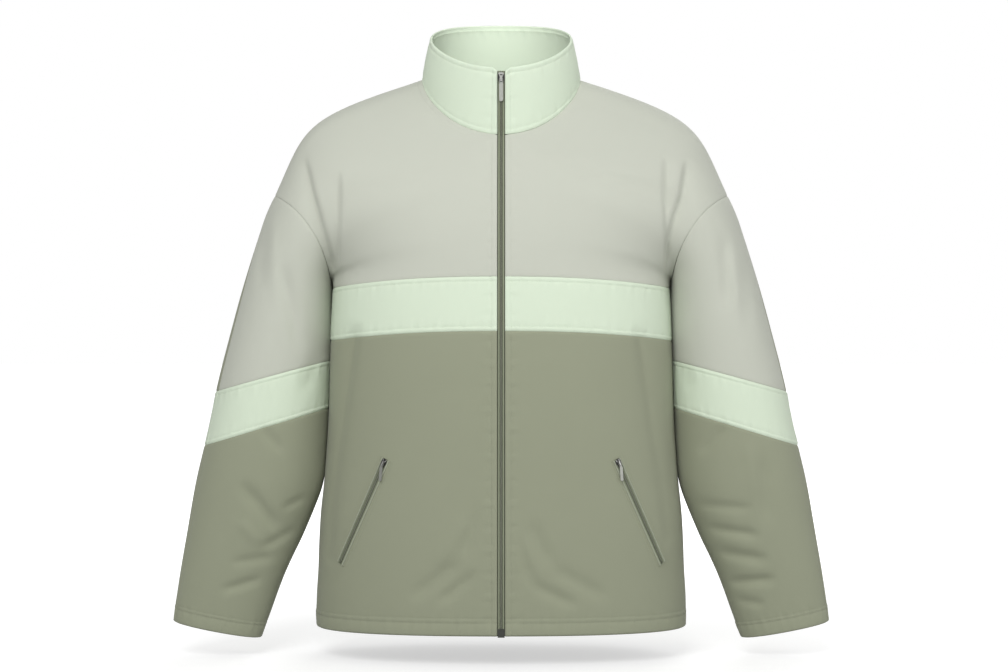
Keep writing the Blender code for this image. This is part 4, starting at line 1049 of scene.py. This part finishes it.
# The left and right halves of a back panel are one piece, so they share a node without a side in its name.
for node in sorted({name.rsplit("_", 1)[0] if name.startswith("back_") else name for name in PANELS}):
    sheets = [SHEETS[name] for name in PANELS if node in (name, name.rsplit("_", 1)[0])]
    piece = knit_piece(f"knit_{node}", sheets, KNITS[knit_of(node)])
    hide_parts(node)
    cut_area(sheets)

# ---------------------------------------------------------------- collar
# The stand collar is two layers of mint knit, sewn to the neck seam and closed by the zip up to its top
# edge. A row of stitching runs below its rolled top edge and another one just above the neck seam.

COLLAR_ROWS = 4
COLLAR_COLUMNS = 30
RIM_HALF_WIDTH = 0.089
RIM_FRONT_Y = -0.098
RIM_BACK_Y = 0.062
RIM_FRONT_Z = 0.010
RIM_BACK_Z = 0.082
RIM_SIDE_LIFT = 0.010
COLLAR_SWELL = 0.0015
COLLAR_CORNER = 0.007
COLLAR_CORNER_DROP = 0.004
COLLAR_TUCK = 0.0025
COLLAR_BASE_EDGE = Edge((0.0060,), 0.0002, 0.0003)


def rim_point(turn):
    """Points of the collar's top edge, with the same turns as the neck seam."""
    half_z = (RIM_BACK_Z - RIM_FRONT_Z) / 2
    z = (RIM_FRONT_Z + RIM_BACK_Z) / 2 - half_z * np.cos(turn) + RIM_SIDE_LIFT * np.sin(turn) ** 2
    half = (RIM_BACK_Y - RIM_FRONT_Y) / 2
    return stack(RIM_HALF_WIDTH * np.sin(turn), (RIM_FRONT_Y + RIM_BACK_Y) / 2 - half * np.cos(turn), z)


def collar_grid():
    """The whole collar, from its left front edge round the back to its right front edge."""
    turns = spread_turns(neck_point, NECK_START, math.pi, COLLAR_COLUMNS * 4)
    base = neck_point(turns)
    base[:, 2] -= COLLAR_TUCK * np.sin(turns) ** 4
    rim = rim_point(turns)
    rim[0, 0] = ZIP_HALF_OPENING
    rim[:, 2] -= COLLAR_CORNER_DROP * (1.0 - smooth(0.0, COLLAR_CORNER, along(rim)))
    outward = unit((base + rim) / 2 * np.array([1.0, 1.0, 0.0]))
    rows = []
    for row in range(COLLAR_ROWS + 1):
        share = row / COLLAR_ROWS
        swell = COLLAR_SWELL * math.sin(share * math.pi) * np.sin(turns)[:, None] ** 2
        rows.append(base + (rim - base) * share + outward * swell)
    left = np.array(rows)
    right = left[:, ::-1] * np.array([-1.0, 1.0, 1.0])
    return np.concatenate([left, right[:, 1:]], axis=1)


collar_edges = (COLLAR_BASE_EDGE, RIM_EDGE, ZIP_EDGE, ZIP_EDGE)
collar_panel = Panel(
    spaced(turned(spaced(turned(finer(collar_grid())), *collar_edges[2:])), *collar_edges[:2]),
    collar_edges,
    None,
)
collar_facing = unit(grid_normals(collar_panel.grid))
collar_sheet = sheet_of(collar_panel, collar_panel.grid, collar_facing, COLLAR_WALL)
for outer, facing in ((collar_sheet.outer, collar_facing), (collar_sheet.inner, -collar_facing)):
    THREAD_ROWS["mint_knit"] += stitch_rows(collar_panel, collar_sheet._replace(outer=outer), facing)
collar = knit_piece("knit_collar", [collar_sheet], KNITS["mint_knit"])
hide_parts("collar")
collar_area = cut_area([collar_sheet])

# ---------------------------------------------------------------- stitching
# Lockstitch in thread dyed to match each panel: short rounded stitches, half sunk in the groove that the
# thread pulls into the knit.

STITCH_PITCH = 0.0031
STITCH_LENGTH = 0.0024
THREAD_HALF = 0.00026
THREAD_SINK = 0.00012


ROD_RINGS = ((0.0, 0.35), (0.22, 1.0), (0.78, 1.0), (1.0, 0.35))


def rods(name, starts, ends, facing, half, material):
    """Many short rods with pointed ends in one mesh, from starts to ends, facing out along the normals."""
    way = unit(ends - starts)
    aside = unit(np.cross(way, facing))
    up = unit(np.cross(aside, way))
    rings = []
    for place, size in ROD_RINGS:
        centre = starts + (ends - starts) * place
        corners = (aside, up, -aside, -up)
        rings.append(np.stack([centre + corner * half * size for corner in corners], axis=1))
    points = np.stack(rings, axis=1).reshape(-1, 3)
    one = [(0, 1, 2, 3), (15, 14, 13, 12)]
    for ring in range(3):
        for side in range(4):
            low, high = 4 * ring + side, 4 * ring + (side + 1) % 4
            one.append((low, low + 4, high + 4, high))
    faces = (np.arange(len(starts))[:, None, None] * 16 + np.array(one)).reshape(-1, 4)
    return new_object(name, points, faces.tolist(), material)


def stitches_along(row):
    """Start, end and normal of each stitch along one row."""
    length = along(row.points)[-1]
    starts = np.arange(STITCH_PITCH / 2, length - STITCH_PITCH, STITCH_PITCH)
    sunk = row.points - row.normals * THREAD_SINK
    facing = unit(at_distances(np.concatenate([row.points, row.normals], axis=1), starts)[:, 3:])
    return at_distances(sunk, starts), at_distances(sunk, starts + STITCH_LENGTH), facing


def stitching(name, rows, material):
    parts = [stitches_along(row) for row in rows]
    starts, ends, facing = (np.concatenate(column) for column in zip(*parts))
    return rods(name, starts, ends, facing, THREAD_HALF, material)


def thread_material(name, colour):
    made, tree, shader = new_material(name, Roughness=0.6, Sheen_Weight=0.2)
    colour_by(tree, shader, FINE_GRAIN, Colour=(*colour, 1.0), Scale=2500.0, Detail=1.0)
    return made


THREADS = {
    "pale_knit": thread_material("pale_thread", (0.50, 0.52, 0.44)),
    "mint_knit": thread_material("mint_thread", (0.56, 0.65, 0.50)),
    "sage_knit": thread_material("sage_thread", (0.22, 0.235, 0.17)),
}
for knit, thread in THREADS.items():
    stitching(f"stitches_on_{knit}", THREAD_ROWS[knit], thread)

# ---------------------------------------------------------------- front zip
# A coil zip with sage tapes: the tapes lie behind the fronts' rolled edges and meet over the coil, whose
# turns show as fine ribs between two lighter cords. The slider stands just below the collar's top, with its
# pull hanging down.

TAPE_REACH = 0.0112
TAPE_SINK = 0.0003
TAPE_THICKNESS = 0.0010
RIB_PITCH = 0.00125
RIB_INNER = 0.0001
RIB_OUTER = 0.0010
RIB_SLANT = 0.0004
RIB_HALF = 0.00036
SLIDER_BOTTOM_Z = -0.0105
TAPE_STEP = 0.0015
SMOOTHED = 9
COLLAR_JOIN = 0.003
SHARP = math.radians(40)
TAPE_PROFILE = [
    (0.0002, -0.0004),
    (0.0004, 0.0000),
    (0.0009, 0.0000),
    (0.0011, -0.0008),
    (0.0016, -0.0008),
    (0.0018, 0.0001),
    (0.0035, 0.0001),
    (0.0039, -0.0008),
    (TAPE_REACH, -0.0008),
    (TAPE_REACH, -TAPE_THICKNESS),
    (0.0002, -TAPE_THICKNESS),
]
CORD = [(0.0018, 0.0000), (0.0036, 0.0000), (0.0034, 0.0006), (0.0020, 0.0006)]


def zip_path(step):
    """The zip's line from the hem to the collar's top: points on the tapes' face, upward ways, normals."""
    z = np.linspace(HEM.centre_z, NECK_FRONT_Z, FINE)
    fronts = stack(0.0, read(BODY_PROFILE, "z", "front_y", z), z)
    top = np.array([0.0, RIM_FRONT_Y, RIM_FRONT_Z - COLLAR_CORNER_DROP])
    line = np.concatenate([fronts, np.linspace(fronts[-1], top, FINE)[1:]])
    line = at_distances(line, np.arange(0.0, along(line)[-1], step))
    way = unit(np.gradient(line, axis=0))
    kernel = np.hanning(SMOOTHED) / np.hanning(SMOOTHED).sum()
    padded = np.pad(way, ((SMOOTHED // 2, SMOOTHED // 2), (0, 0)), mode="edge")
    way = unit(np.stack([np.convolve(padded[:, axis], kernel, "valid") for axis in range(3)], axis=1))
    normal = np.cross(np.broadcast_to([1.0, 0.0, 0.0], way.shape), way)
    in_collar = smooth(-COLLAR_JOIN, COLLAR_JOIN, line[:, 2] - NECK_FRONT_Z)
    wall = CLOTH_WALL + (COLLAR_WALL - CLOTH_WALL) * in_collar
    return line - normal * (wall + TAPE_SINK)[:, None], way, normal


def face_outward(mesh):
    """Turns a closed mesh's faces round where they look inward."""
    shape = bmesh.new()
    shape.from_mesh(mesh)
    if shape.calc_volume(signed=True) < 0.0:
        mesh.flip_normals()
    shape.free()


def swept(name, path, aside, normal, profile, material):
    """A closed band with one cross-section, given as places aside and outward, all along a path."""
    profile = np.array(profile)
    rings = path[:, None] + aside[:, None] * profile[:, :1] + normal[:, None] * profile[:, 1:]
    rows, columns = rings.shape[:2]
    corner = np.arange(rows - 1)[:, None] * columns + np.arange(columns)
    beside = np.arange(rows - 1)[:, None] * columns + (np.arange(columns) + 1) % columns
    faces = np.stack([corner, beside, beside + columns, corner + columns], axis=-1).reshape(-1, 4).tolist()
    faces += [list(range(columns))[::-1], list(range((rows - 1) * columns, rows * columns))]
    made = new_object(name, rings.reshape(-1, 3), faces, material)
    face_outward(made.data)
    made.data.set_sharp_from_angle(angle=SHARP)
    return made


def weave_material(name, colour, roughness):
    """Woven tape or moulded coil: one colour with a fine raised grain."""
    made, tree, shader = new_material(name, Roughness=roughness)
    woven = colour_by(tree, shader, FINE_GRAIN, Colour=(*colour, 1.0))
    add_bump(tree, shader, woven["Grain"], 0.0002, 0.4)
    return made


# The tapes are sage, coloured darker than they are as painted shade, so the grooves beside the cords and the
# gaps under the rolled edges look shadowed; the coil and the pocket tapes share it.
TAPE_WITH_PAINTED_SHADE = weave_material("zip_tape", (0.120, 0.132, 0.092), 0.8)
CORD_YARN = weave_material("zip_cord", (0.265, 0.295, 0.200), 0.8)
ZIP_RIBS = weave_material("zip_ribs", (0.330, 0.345, 0.270), 0.5)
face, _, outward = zip_path(TAPE_STEP)
left = np.broadcast_to([1.0, 0.0, 0.0], face.shape)
for side, aside in (("left", left), ("right", -left)):
    tape = swept(f"tape_{side}", face, aside, outward, TAPE_PROFILE, TAPE_WITH_PAINTED_SHADE)
    swept(f"tape_cord_{side}", face, aside, outward, CORD, CORD_YARN)
    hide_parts(f"zip_tape_{side}")


def make_ribs(name, path, aside, normal, way, scale):
    """The coil's ribs on both sides of the middle, each slanting down and outward."""
    starts, ends, facing = [], [], []
    for side, shift in ((1.0, 0.0), (-1.0, 0.5)):
        middle = path + way * RIB_PITCH * scale * shift
        starts.append(middle + aside * side * RIB_INNER * scale)
        ends.append(middle + aside * side * RIB_OUTER * scale - way * RIB_SLANT * scale)
        facing.append(normal)
    starts, ends, facing = (np.concatenate(column) for column in (starts, ends, facing))
    return rods(name, starts, ends, facing, RIB_HALF * scale, ZIP_RIBS)


face, upward, outward = zip_path(RIB_PITCH)
below = face[:, 2] < SLIDER_BOTTOM_Z
left = np.broadcast_to([1.0, 0.0, 0.0], face.shape)
make_ribs("zip_ribs", face[below], left[below], outward[below], upward[below], 1.0)


def metal_material(name, colour, roughness):
    """Satin metal with fine scratches and a slightly uneven tone."""
    made, tree, shader = new_material(name, Metallic=1.0)
    colour_by(tree, shader, FINE_GRAIN, Colour=(*colour, 1.0), Scale=400.0, Detail=3.0)
    rough = calculate(tree, "MULTIPLY_ADD", noise(tree, 900.0, 2.0), 0.25, roughness - 0.12)
    set_inputs(tree, shader, Roughness=rough)
    return made


ZIP_METAL = metal_material("zip_metal", (0.46, 0.47, 0.43), 0.40)
DARK_METAL = metal_material("dark_metal", (0.13, 0.135, 0.12), 0.36)
BEVEL = 0.00025
GUIDE_ASIDE = 0.0006
GUIDE_SLANT = 0.34
GUIDE_HALF = 0.0005
BRIDGE_BELOW_HINGE = 0.0010
# How bright the painted highlights on the slider are, and the slider's own dark tone.
PAINTED_HIGHLIGHT_TONE = 0.58
DARK_TONE = 0.08
WARM_WHITE = (1.0, 1.0, 0.96)
FRONT_HINGE = (0.0, -0.0974, -0.0034)


def slider_metal_painted_highlights(name, hinge, outward, upward, scale):
    """Dark metal with painted highlights: two bright stripes on the guides that slant down to the middle, and
    a bright bridge over the hinge.
    """
    made, tree, shader = new_material(name, Roughness=0.34, Metallic=1.0)
    places = []
    for way in (np.cross(upward, outward), outward, upward):
        share = calculate(tree, "DOT_PRODUCT", object_place(tree), way, kind="VectorMath")
        places.append(calculate(tree, "SUBTRACT", share, float(np.dot(hinge, way))))
    aside, out, up = places
    guide = calculate(tree, "MULTIPLY_ADD", up, GUIDE_SLANT, GUIDE_ASIDE * scale)
    on_guide = calculate(tree, "COMPARE", calculate(tree, "ABSOLUTE", aside), guide, GUIDE_HALF * scale)
    on_guide = calculate(tree, "MULTIPLY", on_guide, calculate(tree, "GREATER_THAN", up, 0.0))
    on_bridge = calculate(tree, "GREATER_THAN", out, -BRIDGE_BELOW_HINGE * scale)
    # Painted highlight: the guides and the bridge are coloured bright where light would catch the metal.
    painted_highlight = calculate(tree, "MAXIMUM", on_guide, on_bridge)
    shade = calculate(tree, "MULTIPLY_ADD", painted_highlight, PAINTED_HIGHLIGHT_TONE - DARK_TONE, DARK_TONE)
    set_inputs(tree, shader, Base_Color=scaled_colour(tree, WARM_WHITE, shade))
    return made


def finish(node, material):
    """A part that keeps its shape gets a material of its own."""
    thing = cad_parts[node]
    thing.data.materials.clear()
    thing.data.materials.append(material)
    return thing


def finish_metal(node, material):
    """A hard part keeps its shape, with its edges eased."""
    thing = finish(node, material)
    bevel = thing.modifiers.new("eased_edges", "BEVEL")
    bevel.width = BEVEL
    bevel.segments = 2
    bevel.limit_method = "ANGLE"
    bevel.angle_limit = SHARP


finish_metal("zip_slider", slider_metal_painted_highlights("slider_metal_painted_highlights", FRONT_HINGE, (0.0, -1.0, 0.0), (0.0, 0.0, 1.0), 1.0))
finish_metal("zip_pull", ZIP_METAL)
finish_metal("zip_box", DARK_METAL)
finish("zip_coil", TAPE_WITH_PAINTED_SHADE)

# ---------------------------------------------------------------- pocket zips
# Each pocket closes with a finer coil zip between two narrow welts of sage knit, set on a slant and held by a
# row of stitching all round, and a pale strip along each welt's inner lip is a painted highlight. Its slider
# stands at the upper end, with its pull plumb.

POCKET_TOP = Outline(-0.470, 0.140)
POCKET_BOTTOM = Outline(-0.600, 0.1975)
POCKET_SCALE = 0.78
POCKET_FACE = 0.0017
POCKET_HINGE = (0.1439, -0.1265, -0.4749)
HALF_POCKET_TAPE = [
    (0.0037, 0.0000),
    (0.0037, 0.0008),
    (0.0010, 0.0008),
    (0.0008, 0.0017),
]
POCKET_CORD = [(0.0019, 0.0006), (0.0032, 0.0006), (0.0030, 0.0017), (0.0021, 0.0017)]
LIP_HIGHLIGHT_STRIP = [(0.0037, 0.0003), (0.0050, 0.0003), (0.0050, 0.0019), (0.0044, 0.0026), (0.0038, 0.0022)]
WELT = [
    (0.0051, 0.0002),
    (0.0078, -0.0003),
    (0.0070, 0.0007),
    (0.0062, 0.0012),
    (0.0056, 0.0013),
    (0.0051, 0.0008),
]
POCKET_STITCH_ASIDE = 0.0092
POCKET_STITCH_BEYOND = 0.0050
POCKET_POINTS = 60
POCKET_RIBS = 118
POCKET_RIBS_SHORT = -0.004
CROSSING_POINTS = 12


def pocket_path(side, count, beyond, aside_shift):
    """Points on the lower front along the pocket's line, with their upward ways, sides and normals."""
    sign = 1.0 if side == "left" else -1.0
    points = SHEETS[f"front_lower_{side}"].outer
    rows, columns = points.shape[:2]
    tree = BVHTree.FromPolygons(points.reshape(-1, 3).tolist(), grid_quads(rows, columns, 0).tolist())
    bottom = np.array([POCKET_BOTTOM.x, POCKET_BOTTOM.z])
    run = np.array([POCKET_TOP.x, POCKET_TOP.z]) - bottom
    length = np.linalg.norm(run)
    square = np.array([-run[1], run[0]]) / length
    found, facing = [], []
    for share in np.linspace(-beyond / length, 1.0 + beyond / length, count):
        x, z = bottom + run * share + square * aside_shift
        point, normal = tree.ray_cast(Vector((sign * x, -1.0, z)), Vector((0.0, 1.0, 0.0)))[:2]
        found.append(point)
        facing.append(normal)
    found, facing = np.array(found), unit(np.array(facing))
    way = unit(np.gradient(found, axis=0))
    aside = unit(np.cross(way, facing))
    return found, way, aside, facing


# Painted highlight: the pale strip stands for light catching the welts' inner lips.
PAINTED_LIP_HIGHLIGHT = weave_material("zip_piping", (0.460, 0.490, 0.380), 0.6)
POCKET_STRIPS = (
    ("welt", WELT, KNITS["sage_knit"]),
    ("lip_highlight", LIP_HIGHLIGHT_STRIP, PAINTED_LIP_HIGHLIGHT),
    ("cord", POCKET_CORD, CORD_YARN),
)
POCKET_TAPE = HALF_POCKET_TAPE + [(-aside, out) for aside, out in reversed(HALF_POCKET_TAPE)]
for side in ("left", "right"):
    path, way, aside, facing = pocket_path(side, POCKET_POINTS, 0.0, 0.0)
    tape = swept(f"pocket_tape_{side}", path, aside, facing, POCKET_TAPE, TAPE_WITH_PAINTED_SHADE)
    for name, turn in (("outer", 1.0), ("inner", -1.0)):
        for strip, profile, material in POCKET_STRIPS:
            title = f"pocket_{strip}_{name}_{side}"
            swept(title, path, aside * turn, facing, profile, material)
    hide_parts(f"pocket_zip_{side}")
    slider = slider_metal_painted_highlights(
        f"pocket_slider_metal_{side}",
        (POCKET_HINGE[0] * (1.0 if side == "left" else -1.0), *POCKET_HINGE[1:]),
        facing[-1],
        way[-1],
        POCKET_SCALE,
    )
    finish_metal(f"pocket_slider_{side}", slider)
    finish_metal(f"pocket_pull_{side}", ZIP_METAL)
    ribs, way, aside, facing = pocket_path(side, POCKET_RIBS, POCKET_RIBS_SHORT, 0.0)
    lifted = ribs + facing * POCKET_FACE
    make_ribs(f"pocket_ribs_{side}", lifted, aside, facing, way, POCKET_SCALE)
    rows = []
    for shift in (POCKET_STITCH_ASIDE, -POCKET_STITCH_ASIDE):
        row = pocket_path(side, POCKET_POINTS, POCKET_STITCH_BEYOND, shift)
        rows.append(Row(row[0], row[3]))
    for end in (0, -1):
        crossing = np.linspace(rows[0].points[end], rows[1].points[end], CROSSING_POINTS)
        rows.append(Row(crossing, np.repeat(rows[0].normals[end][None], CROSSING_POINTS, axis=0)))
    stitching(f"pocket_stitches_{side}", rows, THREADS["sage_knit"])

# ---------------------------------------------------------------- studio
# A white room with a soft light high in front, weaker ones on the right and behind, a narrow one into the
# collar, a pale floor just under the hem, and a level camera in front.

FLOOR_Z = -0.722
FLOOR_SIZE = 60.0
ROOM_LIGHT = 0.40
CAMERA_PLACE = (0.0035, -3.0, -0.320)
CAMERA_LENS = 84.4
GARMENT_MIDDLE = (0.0, 0.0, -0.35)
COLLAR_BACK = (0.0, 0.06, 0.045)
GREY = (0.5, 0.5, 0.5, 1.0)

world = bpy.data.worlds.new("white_room")
world.use_nodes = True
tree = world.node_tree
seen = add_node(tree, "LightPath").outputs["Is Camera Ray"]
strength = calculate(tree, "MULTIPLY_ADD", seen, 1.0 - ROOM_LIGHT, ROOM_LIGHT)
set_inputs(tree, tree.nodes["Background"], Color=WHITE, Strength=strength)
bpy.context.scene.world = world
bpy.context.scene.view_settings.view_transform = "Standard"

floor_mesh = bpy.data.meshes.new("floor")
half = FLOOR_SIZE / 2
corners = [(-half, -half), (half, -half), (half, half), (-half, half)]
floor_mesh.from_pydata([(x, y, FLOOR_Z) for x, y in corners], [], [(0, 1, 2, 3)])
floor = bpy.data.objects.new("floor", floor_mesh)
bpy.context.scene.collection.objects.link(floor)
floor_paint, tree, shader = new_material("pale_floor", Roughness=0.9, Base_Color=GREY, Emission_Color=WHITE)
# The floor glows to the camera only: evenly white far off and dimmer near the garment, which is painted shade
# round its foot on top of its real shadow.
away = calculate(tree, "LENGTH", object_place(tree), kind="VectorMath")
glow_and_painted_shade = add_node(tree, "MapRange", Value=away, From_Min=0.4, From_Max=1.6, To_Min=0.40, To_Max=1.0)
seen = add_node(tree, "LightPath").outputs["Is Camera Ray"]
set_inputs(tree, shader, Emission_Strength=calculate(tree, "MULTIPLY", glow_and_painted_shade.outputs["Result"], seen))
floor_mesh.materials.append(floor_paint)


def aimed_light(name, kind, place, target, power):
    light = bpy.data.lights.new(name, kind)
    light.energy = power
    lamp = bpy.data.objects.new(name, light)
    bpy.context.scene.collection.objects.link(lamp)
    lamp.location = place
    lamp.rotation_euler = (Vector(target) - Vector(place)).to_track_quat("-Z", "Y").to_euler()
    return light


aimed_light("key", "AREA", (-0.6, -2.8, 1.5), GARMENT_MIDDLE, 68.0).size = 1.5
aimed_light("fill", "AREA", (2.2, -1.8, 0.4), GARMENT_MIDDLE, 18.0).size = 1.8
aimed_light("back_light", "AREA", (0.9, 2.9, 1.1), GARMENT_MIDDLE, 48.0).size = 2.2
collar_light = aimed_light("collar_light", "SPOT", (0.0, -1.0, 0.55), COLLAR_BACK, 18.0)
collar_light.spot_size = math.radians(10)
collar_light.spot_blend = 1.0
collar_light.shadow_soft_size = 0.05

camera = bpy.data.objects.new("camera", bpy.data.cameras.new("camera"))
bpy.context.scene.collection.objects.link(camera)
camera.location = CAMERA_PLACE
camera.rotation_euler = (math.pi / 2, 0.0, 0.0)
camera.data.lens = CAMERA_LENS
camera.data.sensor_width = 36.0
bpy.context.scene.camera = camera
